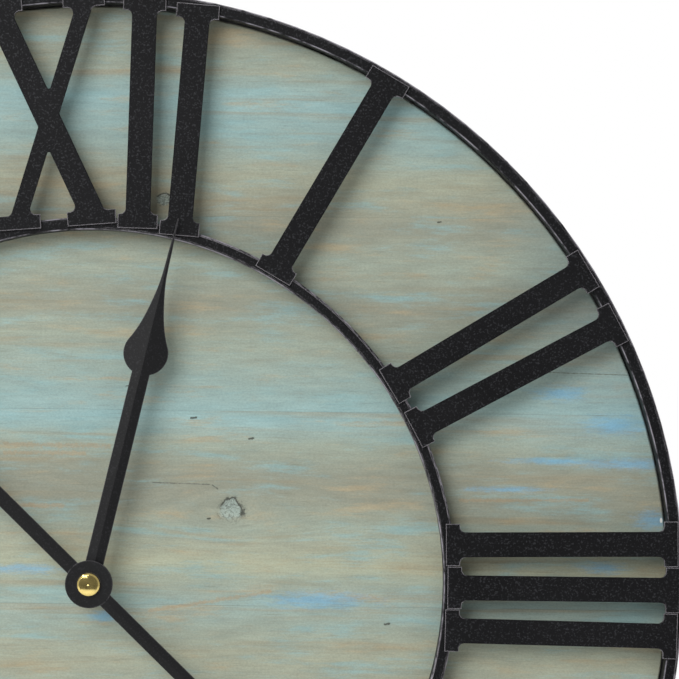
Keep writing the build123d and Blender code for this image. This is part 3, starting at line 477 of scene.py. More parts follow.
SPECKS = (
    ((0.0515, 0.0850), 0.0011), ((0.0815, 0.0748), 0.0010), ((0.1530, -0.0205), 0.0011),
    ((0.1776, 0.1880), 0.0008), ((0.0600, 0.0330), 0.0007), ((0.0172, 0.1012), 0.0008),
    ((-0.0900, 0.0610), 0.0010), ((-0.1300, -0.0700), 0.0012), ((0.0600, -0.1300), 0.0010),
)
WHITE_SPOTS = (((0.2943, 0.0350), 0.0013), ((-0.2520, -0.1500), 0.0011))


def near_line(w, place, start, end, width):
    """1 along a straight line drawn on the board from start to end, 0 away from it."""
    first = Vector((start[0], 0.0, start[1]))
    run = Vector((end[0], 0.0, end[1])) - first
    away = w.vector("MULTIPLY", w.vector("SUBTRACT", place, tuple(first)), (1.0, 0.0, 1.0))
    share = w.math("DIVIDE", w.vector("DOT_PRODUCT", away, tuple(run)), run.length_squared)
    share = w.math("MAXIMUM", w.math("MINIMUM", share, 1.0), 0.0)
    along = w.vector("MULTIPLY", w.join(share, share, share), tuple(run))
    off = w.vector("LENGTH", w.vector("SUBTRACT", away, along))
    rough = w.sway(w.noise(place, 420.0, 4.0, 0.75), width * 3.2)
    return w.invert(w.step(w.plus(off, rough), width * 0.3, width))


def board_knots(w, place):
    """The place with the grain bent round every knot, and where their bark and their middles are."""
    barks, middles = [], []
    for (x, z), radius in KNOTS:
        knot = w.group("pine_knot", Place=place, Centre=(x, 0.0, z), Radius=radius)
        place = knot["Place"]
        barks.append(knot["Bark"])
        middles.append(knot["Middle"])
    return place, w.fold("MAXIMUM", barks), w.fold("MAXIMUM", middles)


def board_staves(w, place):
    """The place moved for each stave, so that its grain is its own, and the joints between staves."""
    z = w.split(place)[2]
    stave = w.fold("ADD", [w.math("GREATER_THAN", z, joint) for joint in STAVE_JOINTS])
    gaps = [w.math("ABSOLUTE", w.minus(z, joint)) for joint in STAVE_JOINTS]
    seam = w.fold("MAXIMUM", [w.math("LESS_THAN", gap, JOINT_HALF_WIDTH) for gap in gaps])
    own = w.join(w.times(stave, 0.731), 0.0, w.times(stave, 0.377))
    return w.vector("ADD", place, own), seam


def board_wash(w, finish, bent, moved, fibre):
    """The wash on the face: bands of colour, streaks, and the pine that shows through it."""
    x, y, z = w.split(bent)
    drift = w.noise(w.vector("MULTIPLY", bent, (4.0, 1.0, 11.0)), 1.0, 3.0, 0.5)
    level = w.plus(z, w.sway(drift, 0.026))
    low, high = BOARD_BANDS[0][0], BOARD_BANDS[-1][0]
    stops = [((height - low) / (high - low), tone(*shade)) for height, shade in BOARD_BANDS]
    washed = w.ramp(w.span(level, low, high, 0.0, 1.0), stops)

    streak = w.noise(w.vector("MULTIPLY", moved, (13.0, 1.0, 92.0)), 1.0, 6.0, 0.70)
    washed = w.tint(washed, w.invert(w.step(streak, 0.33, 0.50)), 0.60, opaque(finish.wash_teal))
    washed = w.tint(washed, w.step(streak, 0.52, 0.68), 0.62, opaque(finish.wash_tan))
    veil = w.noise(w.vector("MULTIPLY", bent, (3.0, 1.0, 26.0)), 1.0, 4.0, 0.6)
    washed = w.tint(washed, w.step(veil, 0.50, 0.72), 0.28, tone(176, 186, 168))
    washed = w.tint(washed, w.step(fibre["Rings"], 0.54, 0.68), 0.46, tone(158, 140, 108))
    washed = w.tint(washed, fibre["Late Wood"], 0.11, tone(118, 112, 90))
    cool_side = w.times(w.step(x, 0.190, 0.285), w.step(level, 0.050, 0.090))
    return w.tint(washed, cool_side, 0.50, tone(136, 168, 172))


def board_marks(w, finish, washed, bent, place):
    """Figure lines, blue stains, cracks, specks and small near-white spots over the wash."""
    for start, end, width in FIGURE_LINES:
        washed = w.tint(washed, near_line(w, bent, start, end, width), 0.38, tone(176, 146, 106))
    stains = []
    for (x, z), (reach_x, reach_z) in BLUE_PATCHES:
        reach = (reach_x, 1.0, reach_z)
        stains.append(w.group("stain_patch", Place=bent, Centre=(x, 0.0, z), Reach=reach)["Mask"])
    washed = w.tint(washed, w.fold("MAXIMUM", stains), 0.60, opaque(finish.wash_blue))
    for start, end, width in CRACKS:
        washed = w.tint(washed, near_line(w, place, start, end, width), 0.7, tone(84, 88, 80))
    for (x, z), size in SPECKS:
        dash = near_line(w, place, (x - size, z), (x + size, z + size * 0.3), size * 0.75)
        washed = w.tint(washed, dash, 0.9, tone(62, 64, 56))
    # Small near-white spots on the board.
    for (x, z), size in WHITE_SPOTS:
        away = w.vector("MULTIPLY", w.vector("SUBTRACT", place, (x, 0.0, z)), (1.6, 0.0, 0.8))
        white_spot = w.invert(w.step(w.vector("LENGTH", away), size * 0.6, size))
        washed = w.mix(white_spot, washed, tone(240, 240, 232))
    return washed


def board_knot_faces(w, washed, place, bark, middle):
    """The washed knots: a pale swirled heart in dark bark."""
    swirl = w.noise(place, 520.0, 4.0, 0.7, 1.2)
    heart = w.mix(w.step(swirl, 0.30, 0.66), tone(126, 150, 152), tone(170, 192, 188))
    washed = w.tint(washed, middle, 0.45, heart)
    return w.tint(washed, bark, 0.88, tone(50, 50, 44))


def board_grain(w, washed, place, moved, fibre, seam):
    """Pores, fibres, mottle and clouds over the washed face, and its broken joint lines."""
    washed = w.tint(washed, fibre["Pores"], 0.20, tone(104, 104, 88))
    mottle = w.noise(w.vector("MULTIPLY", place, (1.0, 1.0, 1.6)), 800.0, 2.0, 0.7)
    cloud = w.noise(w.vector("MULTIPLY", moved, (42.0, 1.0, 210.0)), 1.0, 4.0, 0.65)
    shade = w.times(w.span(fibre["Fibres"], 0.25, 0.75, 0.95, 1.05), w.span(mottle, 0.2, 0.8, 0.86, 1.14))
    shade = w.times(shade, w.span(cloud, 0.3, 0.7, 0.90, 1.10))
    washed = w.mix(1.0, washed, w.join(shade, shade, shade), "MULTIPLY")
    broken = w.step(w.noise(w.vector("MULTIPLY", place, (22.0, 1.0, 22.0)), 1.0, 3.0), 0.38, 0.60)
    return w.tint(washed, w.times(seam, broken), 0.26, tone(84, 90, 82))


def board_back(w, fibre, bark, middle, seam):
    """The raw pine of the board's back."""
    raw = w.mix(w.step(fibre["Rings"], 0.35, 0.70), tone(214, 184, 134), tone(186, 146, 92))
    raw = w.tint(raw, fibre["Late Wood"], 0.45, tone(150, 104, 58))
    raw = w.tint(raw, middle, 0.8, tone(124, 78, 42))
    raw = w.tint(raw, bark, 0.8, tone(66, 42, 26))
    return w.tint(raw, seam, 0.6, tone(96, 66, 40))


def board_material(finish):
    """Edge-glued pine with a thin blue-green wash on its face, raw at the back."""
    made, w, shader, place = new_material("board_washed_pine", 0.62, specular=0.35)
    bent, bark, middle = board_knots(w, place)
    moved, seam = board_staves(w, bent)
    fibre = w.group("wood_fibre", Place=moved, Ring_Count=105.0, Waviness=0.012)

    washed = board_wash(w, finish, bent, moved, fibre)
    washed = board_marks(w, finish, washed, bent, place)
    washed = board_knot_faces(w, washed, place, bark, middle)
    washed = board_grain(w, washed, place, moved, fibre, seam)
    gain = finish.wash_brightness
    washed = w.mix(1.0, washed, (gain, gain, gain, 1.0), "MULTIPLY")

    depth = w.split(place)[1]
    blot = w.sway(w.noise(place, 90.0, 3.0), 0.006)
    thick = BOARD_HIGH[1] - BOARD_LOW[1]
    start, end = BOARD_LOW[1] + thick * 0.60, BOARD_LOW[1] + thick * 0.85
    behind = w.step(w.plus(depth, blot), start, end)
    w.feed(shader["Base Color"], w.mix(behind, washed, board_back(w, fibre, bark, middle, seam)))
    w.feed(shader["Roughness"], w.span(fibre["Late Wood"], 0.0, 1.0, 0.66, 0.52))
    relief = w.plus(w.times(fibre["Fibres"], 0.5), w.times(fibre["Late Wood"], 0.6))
    relief = w.minus(relief, w.plus(w.times(seam, 1.2), w.times(bark, 0.9)))
    w.feed(shader["Normal"], w.bump(relief, 0.35, 0.00015, soft_edge(w, 0.0006)))
    return made


def batten_material():
    """Plain planed pine with its grain up the batten."""
    made, w, shader, place = new_material("batten_raw_pine", 0.60, specular=0.35)
    x, y, z = w.split(place)
    side = w.math("GREATER_THAN", x, 0.0)
    turned = w.join(z, w.plus(y, side), w.plus(x, w.times(side, 0.443)))
    knot = w.group("pine_knot", Place=turned, Centre=(0.118, 0.0, -0.101), Radius=0.0062)
    fibre = w.group("wood_fibre", Place=knot["Place"], Ring_Count=190.0, Waviness=0.016)
    colour = w.mix(w.step(fibre["Rings"], 0.35, 0.68), tone(218, 186, 136), tone(190, 148, 94))
    colour = w.tint(colour, fibre["Late Wood"], 0.5, tone(154, 106, 60))
    colour = w.tint(colour, fibre["Pores"], 0.3, tone(116, 80, 48))
    colour = w.tint(colour, knot["Middle"], 0.8, tone(126, 78, 42))
    colour = w.tint(colour, knot["Bark"], 0.8, tone(66, 42, 26))
    w.feed(shader["Base Color"], colour)
    w.feed(shader["Roughness"], w.span(fibre["Fibres"], 0.3, 0.7, 0.52, 0.68))
    w.feed(shader["Normal"], w.bump(fibre["Fibres"], 0.4, 0.00015, soft_edge(w, 0.0006)))
    return made


def metal_material(name, colour, dark, roughness, stretch, edge=0.0003):
    """Plated, drawn or turned metal."""
    made, w, shader, place = new_material(name, roughness, 1.0)
    drawn = w.group("drawn_metal", Place=place, Stretch=stretch)
    shown = w.mix(w.step(drawn["Clouds"], 0.35, 0.70), colour, dark)
    wear_and_glint = w.group("edge_wear_and_highlight", Place=place, Radius=edge)
    shown = w.tint(shown, wear_and_glint["Mask"], 0.4, colour)
    w.feed(shader["Base Color"], shown)
    rough = w.span(drawn["Streaks"], 0.3, 0.7, roughness * 0.75, roughness * 1.3)
    w.feed(shader["Roughness"], rough)
    w.feed(shader["Normal"], w.bump(drawn["Streaks"], 0.15, 0.00005, soft_edge(w, edge)))
    return made


def turned_brass(name, finish, roughness):
    """Brass turned on the clock's own axis, with fine rings from the tool."""
    made, w, shader, place = new_material(name, roughness, 1.0)
    x, y, z = w.split(place)
    reach = w.vector("LENGTH", w.join(x, 0.0, z))
    rings = w.noise(w.join(w.times(reach, 9000.0), 0.0, w.times(y, 6000.0)), 1.0, 2.0)
    drawn = w.group("drawn_metal", Place=place, Stretch=(900.0, 900.0, 900.0))
    bright = opaque(finish.brass_colour)
    deep = opaque(part * 0.72 for part in finish.brass_colour)
    w.feed(shader["Base Color"], w.mix(w.step(drawn["Clouds"], 0.4, 0.75), bright, deep))
    w.feed(shader["Roughness"], w.span(rings, 0.3, 0.7, roughness * 0.7, roughness * 1.4))
    w.feed(shader["Normal"], w.bump(rings, 0.05, 0.00003, soft_edge(w, 0.00018)))
    return made


def plastic_material(name, colour, pale, roughness, grain=2600.0, bump=0.3, coat=0.0):
    """Moulded plastic or rubber with a spark-eroded grain and a little dust."""
    made, w, shader, place = new_material(name, roughness, coat=coat)
    dust = w.group("settled_dust", Place=place, Grain=grain)
    shown = w.tint(colour, dust["Dust"], 0.30, pale)
    wear_and_glint = w.group("edge_wear_and_highlight", Place=place, Radius=0.0003)
    w.feed(shader["Base Color"], w.mix(w.times(wear_and_glint["Mask"], 0.35), shown, pale))
    w.feed(shader["Roughness"], w.span(dust["Dust"], 0.0, 1.0, roughness, min(1.0, roughness + 0.14)))
    w.feed(shader["Normal"], w.bump(dust["Height"], bump, 0.00006, soft_edge(w, 0.0003)))
    return made


def winding_material():
    """Enamelled copper wire wound in close turns across its axis."""
    made, w, shader, place = new_material("coil_copper_turns", 0.3, 1.0)
    x, y, z = w.split(place)
    turns = w.math("SINE", w.times(x, 2 * math.pi / 0.00022))
    cloud = w.noise(place, 500.0, 3.0)
    w.feed(shader["Base Color"], w.mix(w.step(cloud, 0.3, 0.7), tone(206, 122, 62), tone(158, 78, 34)))
    w.feed(shader["Roughness"], w.span(turns, -1.0, 1.0, 0.42, 0.24))
    w.feed(shader["Normal"], w.bump(turns, 0.5, 0.00008))
    return made


def laminate_material():
    """Green solder mask over copper tracks."""
    made, w, shader, place = new_material("circuit_green_mask", 0.34, coat=0.3)
    x, y, z = w.split(place)
    lane = w.math("ABSOLUTE", w.math("SINE", w.times(w.plus(x, w.times(z, 0.3)), 1500.0)))
    track = w.times(w.step(lane, 0.80, 0.92), w.step(w.noise(place, 160.0, 0.0), 0.46, 0.50))
    colour = w.mix(w.noise(place, 300.0, 3.0), tone(22, 92, 48), tone(30, 112, 60))
    w.feed(shader["Base Color"], w.mix(w.times(track, 0.7), colour, tone(76, 150, 84)))
    w.feed(shader["Roughness"], w.span(track, 0.0, 1.0, 0.36, 0.26))
    w.feed(shader["Normal"], w.bump(track, 0.4, 0.00006))
    return made


def jacket_material(low, high):
    """Plain two-tone film on the cell, bare steel at its two ends."""
    made, w, shader, place = new_material("battery_plain_jacket", 0.32, coat=0.4)
    x = w.split(place)[0]
    share = w.span(x, low[0], high[0], 0.0, 1.0)
    film = w.times(w.step(share, 0.012, 0.016), w.invert(w.step(share, 0.955, 0.960)))
    band = w.step(share, 0.70, 0.703)
    scuff = w.noise(w.vector("MULTIPLY", place, (60.0, 900.0, 900.0)), 1.0, 4.0, 0.6)
    body = w.mix(w.step(scuff, 0.4, 0.8), tone(34, 40, 48), tone(52, 60, 70))
    ring = w.mix(w.step(scuff, 0.4, 0.8), tone(176, 184, 190), tone(150, 158, 166))
    colour = w.mix(band, body, ring)
    w.feed(shader["Base Color"], w.mix(film, tone(176, 174, 168), colour))
    w.feed(shader["Metallic"], w.invert(film))
    w.feed(shader["Roughness"], w.span(scuff, 0.3, 0.8, 0.26, 0.42))
    w.feed(shader["Normal"], w.bump(scuff, 0.08, 0.00005, soft_edge(w, 0.0003)))
    return made


def floor_material():
    """Matt white with a barely seen mottle."""
    made, w, shader, place = new_material("floor_matt_white", 0.85, specular=0.2)
    w.feed(shader["Base Color"], w.mix(w.noise(place, 6.0, 3.0), tone(238, 238, 236), tone(232, 232, 230)))
    return made


def studio_world(level):
    """Even light, stronger from the front than from behind, and a white backdrop."""
    world = bpy.data.worlds.new("studio_light")
    world.use_nodes = True
    w = Wires(world.node_tree)
    sky = world.node_tree.nodes["Background"]
    y = w.split(w.node("ShaderNodeTexCoord").outputs["Generated"])[1]
    light = w.times(w.span(w.step(y, -1.0, -0.15), 0.0, 1.0, 0.30, 1.30), level)
    seen = w.node("ShaderNodeLightPath").outputs["Is Camera Ray"]
    w.feed(sky.inputs["Color"], (1.0, 1.0, 1.0, 1.0))
    w.feed(sky.inputs["Strength"], w.plus(w.times(light, w.invert(seen)), seen))
    return world


# ---------------------------------------------------------------- mesh pieces

# Weld beads: how far they stop before a plate's end, and the length and least number of their steps.
BEAD_TRIM = 0.0015
BEAD_STEP = 0.00055
BEAD_FEWEST_STEPS = 6

# The search for a plate over its ring: the arc and its steps in degrees, and the rays in metres.
SEARCH_DEGREES = 60
SEARCH_STEP = 0.2
SEARCH_START = 0.002
SEARCH_LENGTH = 0.003

# A knob rib's outline: which side of the rib, and how far out from the knob's rim. Then the share of
# the rim that the ribs take, and how far they stop short of the knob's back and the cover.
RIB_PROFILE = ((-1, -0.0002), (-1, 0.00012), (0, 0.00028), (1, 0.00012), (1, -0.0002))
RIB_SHARE = 0.45
RIB_END_GAP = 0.0005

# Moulded marks on the cover: the arrow round the knob, and the signs over the cell's two ends.
MARK_SINK = 0.0002
ARROW_GAP = 0.0028
ARROW_WIDTH = 0.0008
ARROW_TURNS = tuple(math.radians(135 + 5 * step) for step in range(19))
ARROW_HEAD = ((-0.0013, 0.0), (0.0013, 0.0), (0.0, 0.0026))
SIGN_RISE = 0.0022
SIGN_INSET = 0.006
SIGN_BAR = (0.0012, 0.00035)
SIGN_CORNERS = ((-1, -1), (1, -1), (1, 1), (-1, 1))
# The plus sign's upright bar stands a little over the level one, so that no two faces coincide.
SIGN_LIFT = 0.00001


def piece_from(mesh, name, material, body, smooth=True):
    """Turns a finished bmesh into a named piece that rides on one CAD body."""
    bmesh.ops.recalc_face_normals(mesh, faces=mesh.faces)
    data = bpy.data.meshes.new(name)
    mesh.to_mesh(data)
    mesh.free()
    for polygon in data.polygons:
        polygon.use_smooth = smooth
    data.materials.append(material)
    made = bpy.data.objects.new(name, data)
    bpy.context.scene.collection.objects.link(made)
    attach(made, body)
    return made


def add_prism(mesh, outline, back, front):
    """A plate between two depths, from points (x, z) in order round its edge."""
    near = [mesh.verts.new((x, front, z)) for x, z in outline]
    far = [mesh.verts.new((x, back, z)) for x, z in outline]
    mesh.faces.new(near)
    mesh.faces.new(list(reversed(far)))
    for step in range(len(outline)):
        after = (step + 1) % len(outline)
        mesh.faces.new((near[after], near[step], far[step], far[after]))


def round_point(middle, reach, turn):
    """The point (x, z) at a distance from a middle, turned clockwise from straight up."""
    return (middle[0] + reach * math.sin(turn), middle[1] + reach * math.cos(turn))


def add_knob_ribs(mesh, middle, reach, count, back, front):
    """Upright ribs round a knob's rim."""
    half = math.pi / count * RIB_SHARE
    for rib in range(count):
        turn = 2 * math.pi * rib / count
        outline = [round_point(middle, reach + out, turn + half * side) for side, out in RIB_PROFILE]
        add_prism(mesh, outline, back, front)


def add_turn_arrow(mesh, middle, reach, base, top):
    """The curved arrow that shows which way the knob turns."""
    outer, inner = reach + ARROW_WIDTH / 2, reach - ARROW_WIDTH / 2
    for start, end in zip(ARROW_TURNS, ARROW_TURNS[1:]):
        corners = ((outer, start), (outer, end), (inner, end), (inner, start))
        add_prism(mesh, [round_point(middle, distance, turn) for distance, turn in corners], base, top)
    tip = ARROW_TURNS[-1]
    head = [round_point(middle, reach + out, tip + along / reach) for out, along in ARROW_HEAD]
    add_prism(mesh, head, base, top)


def add_cell_signs(mesh, minus_x, plus_x, level, base, top):
    """A minus and a plus over the two ends of the cell."""
    upright = SIGN_BAR[::-1]
    for x, bars in ((minus_x, (SIGN_BAR,)), (plus_x, (SIGN_BAR, upright))):
        for bar in bars:
            corners = [(x + bar[0] * across, level + bar[1] * up) for across, up in SIGN_CORNERS]
            lift = SIGN_LIFT if bar == upright else 0.0
            add_prism(mesh, corners, base, top + lift)


def add_bead(mesh, path, radius, sides=7, ripple=0.0011):
    """A rippled weld bead along points, closed and drawn in at both ends."""
    rings = []
    gone = 0.0
    for step, point in enumerate(path):
        before, after = path[max(step - 1, 0)], path[min(step + 1, len(path) - 1)]
        along = (after - before).normalized()
        if step:
            gone += (point - path[step - 1]).length
        side = along.cross(Vector((0, 1, 0))).normalized()
        end = min(step, len(path) - 1 - step)
        swell = 0.82 + 0.18 * abs(math.cos(math.pi * gone / ripple))
        size = radius * swell * min(1.0, 0.35 + 0.35 * end)
        rings.append([
            mesh.verts.new(point + size * (side * math.cos(turn) + Vector((0, math.sin(turn), 0))))
            for turn in (2 * math.pi * part / sides for part in range(sides))
        ])
    for first, second in zip(rings, rings[1:]):
        for part in range(sides):
            after = (part + 1) % sides
            mesh.faces.new((first[part], first[after], second[after], second[part]))
    mesh.faces.new(rings[0])
    mesh.faces.new(list(reversed(rings[-1])))


def bead_path(run, radius, height):
    """Points along one run of a ring, short of its two ends. A run too short for a bead has none."""
    first, last = run[0] + BEAD_TRIM / radius, run[-1] - BEAD_TRIM / radius
    count = int((last - first) * radius / BEAD_STEP)
    if count < BEAD_FEWEST_STEPS:
        return []
    turns = [first + (last - first) * step / count for step in range(count + 1)]
    return [Vector((radius * math.sin(turn), height, radius * math.cos(turn))) for turn in turns]


def plate_runs(node, radius, height):
    """Stretches of a circle, as lists of angles, where the plate lies over its ring.

    Rays go forward from just behind the plate's back, all along the circle near its middle.
    """
    tree = BVHTree.FromObject(NODES[node], bpy.context.evaluated_depsgraph_get())
    low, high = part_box(node)
    middle = math.degrees(math.atan2((low[0] + high[0]) / 2, (low[2] + high[2]) / 2))
    runs, run = [], []
    steps = int(SEARCH_DEGREES / SEARCH_STEP)
    for step in range(-steps // 2, steps // 2 + 1):
        angle = math.radians(middle + step * SEARCH_STEP)
        start = Vector((radius * math.sin(angle), height + SEARCH_START, radius * math.cos(angle)))
        if tree.ray_cast(start, Vector((0, -1, 0)), SEARCH_LENGTH)[0] is not None:
            run.append(angle)
        elif run:
            runs.append(run)
            run = []
    if run:
        runs.append(run)
    return runs


# ---------------------------------------------------------------- settings

class CLOCK_PG_finish(bpy.types.PropertyGroup):
    """Colours and textures of the clock."""

    wash_brightness: FloatProperty(
        name="Wash Brightness", description="Overall lightness of the washed board",
        default=0.88, min=0.1, max=2.0, subtype="FACTOR",
    )
    wash_teal: FloatVectorProperty(
        name="Blue-green Wash", description="Cool streaks in the wash", size=3,
        default=tone(138, 180, 184)[:3], subtype="COLOR",
    )
    wash_tan: FloatVectorProperty(
        name="Bare Pine Streaks", description="Warm streaks where the wash is thin", size=3,
        default=tone(178, 160, 126)[:3], subtype="COLOR",
    )
    wash_blue: FloatVectorProperty(
        name="Blue Stain", description="Small patches of strong blue stain", size=3,
        default=tone(114, 176, 212)[:3], subtype="COLOR",
    )
    coat_colour: FloatVectorProperty(
        name="Powder Coat", description="Colour of the steel's powder coat", size=3,
        default=(0.0034, 0.0035, 0.0041), subtype="COLOR",
    )
    coat_roughness: FloatProperty(
        name="Coat Roughness", description="Roughness of the powder coat",
        default=0.50, min=0.0, max=1.0, subtype="FACTOR",
    )
    coat_grain: FloatProperty(
        name="Coat Grain", description="Grains of the powder coat in one metre",
        default=1050.0, min=100.0, max=6000.0,
    )
    brass_colour: FloatVectorProperty(
        name="Brass", description="Colour of the polished brass", size=3,
        default=(0.80, 0.63, 0.23), subtype="COLOR",
    )


class CLOCK_PG_sizes(bpy.types.PropertyGroup):
    """Sizes of the details added to the frame."""

    edge_softness: FloatProperty(
        name="Edge Softness", description="Radius seen at the edges of the cut steel plates",
        default=0.0005, min=0.0, max=0.003, subtype="DISTANCE", unit="LENGTH",
    )
    ring_face: FloatProperty(
        name="Ring Face", description="Width of a ring's front face",
        default=0.0064, min=0.002, max=0.02, subtype="DISTANCE", unit="LENGTH",
    )
    bead_radius: FloatProperty(
        name="Weld Bead Radius", description="Radius of the weld beads behind the numerals",
        default=0.0009, min=0.0003, max=0.003, subtype="DISTANCE", unit="LENGTH",
    )
    mark_height: FloatProperty(
        name="Mark Height", description="Height of the moulded marks on the movement",
        default=0.00025, min=0.00005, max=0.001, subtype="DISTANCE", unit="LENGTH",
    )
    knob_ribs: IntProperty(
        name="Knob Ribs", description="Number of ribs round the setting knob", default=28, min=8, max=60,
    )


class CLOCK_PG_studio(bpy.types.PropertyGroup):
    """The floor, the lights and the camera."""

    key_power: FloatProperty(
        name="Key Light", description="Power of the large light from the upper left",
        default=36.0, min=0.0, max=500.0, unit="POWER",
    )
    fill_level: FloatProperty(
        name="Room Light", description="Strength of the even light from all round",
        default=0.62, min=0.0, max=3.0, subtype="FACTOR",
    )
    camera_distance: FloatProperty(
        name="Camera Distance", description="Distance from the camera to the numerals",
        default=1.5, min=0.4, max=10.0, subtype="DISTANCE", unit="LENGTH",
    )
    view_width: FloatProperty(
        name="View Width", description="Width seen at the numerals",
        default=0.3484, min=0.05, max=3.0, subtype="DISTANCE", unit="LENGTH",
    )
    camera_roll: FloatProperty(
        name="Camera Roll", description="Turn of the camera about its own view",
        default=math.radians(0.7), subtype="ANGLE",
    )
    floor_drop: FloatProperty(
        name="Floor Drop", description="Distance from the clock's lowest point down to the floor",
        default=0.20, min=0.0, max=3.0, subtype="DISTANCE", unit="LENGTH",
    )


class Look:
    """The finish and the sizes together, for the powder coat, which needs both."""

    def __init__(self, scene):
        self.coat_colour = scene.clock_finish.coat_colour
        self.coat_roughness = scene.clock_finish.coat_roughness
        self.coat_grain = scene.clock_finish.coat_grain
        self.edge_softness = scene.clock_sizes.edge_softness
        self.ring_face = scene.clock_sizes.ring_face


# ---------------------------------------------------------------- operators

class CLOCK_OT_shared_textures(bpy.types.Operator):
    """Build the shader groups that the clock's materials share"""

    bl_idname = "clock.shared_textures"
    bl_label = "Shared Textures"

    def execute(self, context):
        make_fibre_group()
        make_knot_group()
        make_patch_group()
        make_coat_group()
        make_edge_group()
        make_brushed_group()
        make_dust_group()
        return {"FINISHED"}


class CLOCK_OT_board(bpy.types.Operator):
    """Give the round board its washed pine face and raw back"""

    bl_idname = "clock.board"
    bl_label = "Pine Board"

    def execute(self, context):
        finish_nodes(board_material(context.scene.clock_finish), "dial_board")
        return {"FINISHED"}


class CLOCK_OT_battens(bpy.types.Operator):
    """Finish the two battens behind the board"""

    bl_idname = "clock.battens"
    bl_label = "Battens"

    def execute(self, context):
        finish_nodes(batten_material(), "batten_left", "batten_right")
        return {"FINISHED"}


class CLOCK_OT_steelwork(bpy.types.Operator):
    """Powder-coat the rings, their tabs and lugs, and the numerals"""

    bl_idname = "clock.steelwork"
    bl_label = "Rings and Numerals"

    def execute(self, context):
        look = Look(context.scene)
        # 0.55 is the strength of the painted edge highlight; the rings also get painted highlight lines.
        coat = powder_coat("ring_black_powder_coat", look, 0.55, rings=("outer_ring", "inner_ring"))
        finish_nodes(coat, *BLACK_STEEL)
        # 0.75 is the strength of the painted highlight at the numerals' ends.
        finish_nodes(powder_coat("numeral_black_powder_coat", look, 0.75, True), *NUMERALS)
        return {"FINISHED"}


class CLOCK_OT_hands(bpy.types.Operator):
    """Powder-coat the two folded hands"""

    bl_idname = "clock.hands"
    bl_label = "Hands"

    def execute(self, context):
        look = Look(context.scene)
        # 0.16 is the strength of a faint painted highlight along the hands' edges.
        coat = powder_coat("hand_black_powder_coat", look, 0.16, specks_and_sparkle=0.40, specular=0.20)
        finish_nodes(coat, "hour_hand", "minute_hand")
        return {"FINISHED"}


class CLOCK_OT_welds(bpy.types.Operator):
    """Lay rippled weld beads behind the numerals, along both rings"""

    bl_idname = "clock.welds"
    bl_label = "Weld Beads"

    def execute(self, context):
        sizes = context.scene.clock_sizes
        bead = sizes.bead_radius
        sunk = bead * 0.45
        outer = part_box("outer_ring")[1][0] - sizes.ring_face
        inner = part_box("inner_ring")[1][0]
        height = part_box("numeral_1")[1][1]
        coat = powder_coat("weld_black_powder_coat", Look(context.scene), 0.0)
        for name, radius in (("outer_weld_beads", outer - sunk), ("inner_weld_beads", inner + sunk)):
            mesh = bmesh.new()
            for node in NUMERALS:
                for run in plate_runs(node, radius, height):
                    path = bead_path(run, radius, height + sunk)
                    if path:
                        add_bead(mesh, path, bead)
            piece_from(mesh, name, coat, "clock")
        return {"FINISHED"}


class CLOCK_OT_hardware(bpy.types.Operator):
    """Plate the screws, washers and hanger bar, and finish the wall pads"""

    bl_idname = "clock.hardware"
    bl_label = "Hanger, Screws and Pads"

    def execute(self, context):
        zinc = metal_material(
            "zinc_bright_plate", tone(206, 208, 210), tone(166, 168, 172), 0.34, (2400.0, 2400.0, 120.0)
        )
        strip = metal_material(
            "hanger_zinc_strip", tone(204, 206, 208), tone(160, 163, 168), 0.38,
            (50.0, 2500.0, 2500.0), 0.0004,
        )
        finish_nodes(zinc, "batten_screws", "hanger_screws", "tab_screws", "ring_screws", "ring_washers")
        finish_nodes(strip, "hanger_bar")
        rubber = plastic_material("pad_black_rubber", tone(30, 30, 30), tone(84, 82, 78), 0.82, 1500.0, 0.5)
        finish_nodes(rubber, "wall_pads", "rubber_washer")
        return {"FINISHED"}


class CLOCK_OT_brasswork(bpy.types.Operator):
    """Polish the cap nut and turn the stem, its nut, its washer and the collet"""

    bl_idname = "clock.brasswork"
    bl_label = "Brass Parts"

    def execute(self, context):
        finish = context.scene.clock_finish
        finish_nodes(turned_brass("cap_polished_brass", finish, 0.10), "cap_nut")
        finish_nodes(
            turned_brass("turned_brass", finish, 0.26),
            "threaded_stem", "brass_washer", "stem_nut", "hour_collet", "centre_wheel",
        )
        return {"FINISHED"}


class CLOCK_OT_movement_case(bpy.types.Operator):
    """Give the movement case and its setting knob their moulded plastic"""

    bl_idname = "clock.movement_case"
    bl_label = "Movement Case"

    def execute(self, context):
        case = plastic_material("case_black_plastic", tone(40, 41, 43), tone(92, 92, 92), 0.48)
        knob = plastic_material(
            "knob_ivory_plastic", tone(212, 206, 190), tone(232, 228, 216), 0.42, bump=0.15
        )
        finish_nodes(case, "movement_front_case", "movement_rear_cover", "coil_bobbin")
        finish_nodes(knob, "setting_knob")

        sizes = context.scene.clock_sizes
        low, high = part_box("setting_knob")
        middle = ((low[0] + high[0]) / 2, (low[2] + high[2]) / 2)
        reach = (high[0] - low[0]) / 2
        cover_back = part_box("movement_rear_cover")[1][1]
        ribs = bmesh.new()
        back, front = high[1] - RIB_END_GAP, cover_back + RIB_END_GAP
        add_knob_ribs(ribs, middle, reach, sizes.knob_ribs, back, front)
        piece_from(ribs, "knob_ribs", knob, "minute_wheel", smooth=False)

        cell_low, cell_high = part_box("battery")
        base, top = cover_back - MARK_SINK, cover_back + sizes.mark_height
        marks = bmesh.new()
        add_turn_arrow(marks, middle, reach + ARROW_GAP, base, top)
        minus_x, plus_x = cell_low[0] + SIGN_INSET, cell_high[0] - SIGN_INSET
        add_cell_signs(marks, minus_x, plus_x, cell_high[2] + SIGN_RISE, base, top)
        piece_from(marks, "moulded_marks", case, "clock", smooth=False)
        return {"FINISHED"}


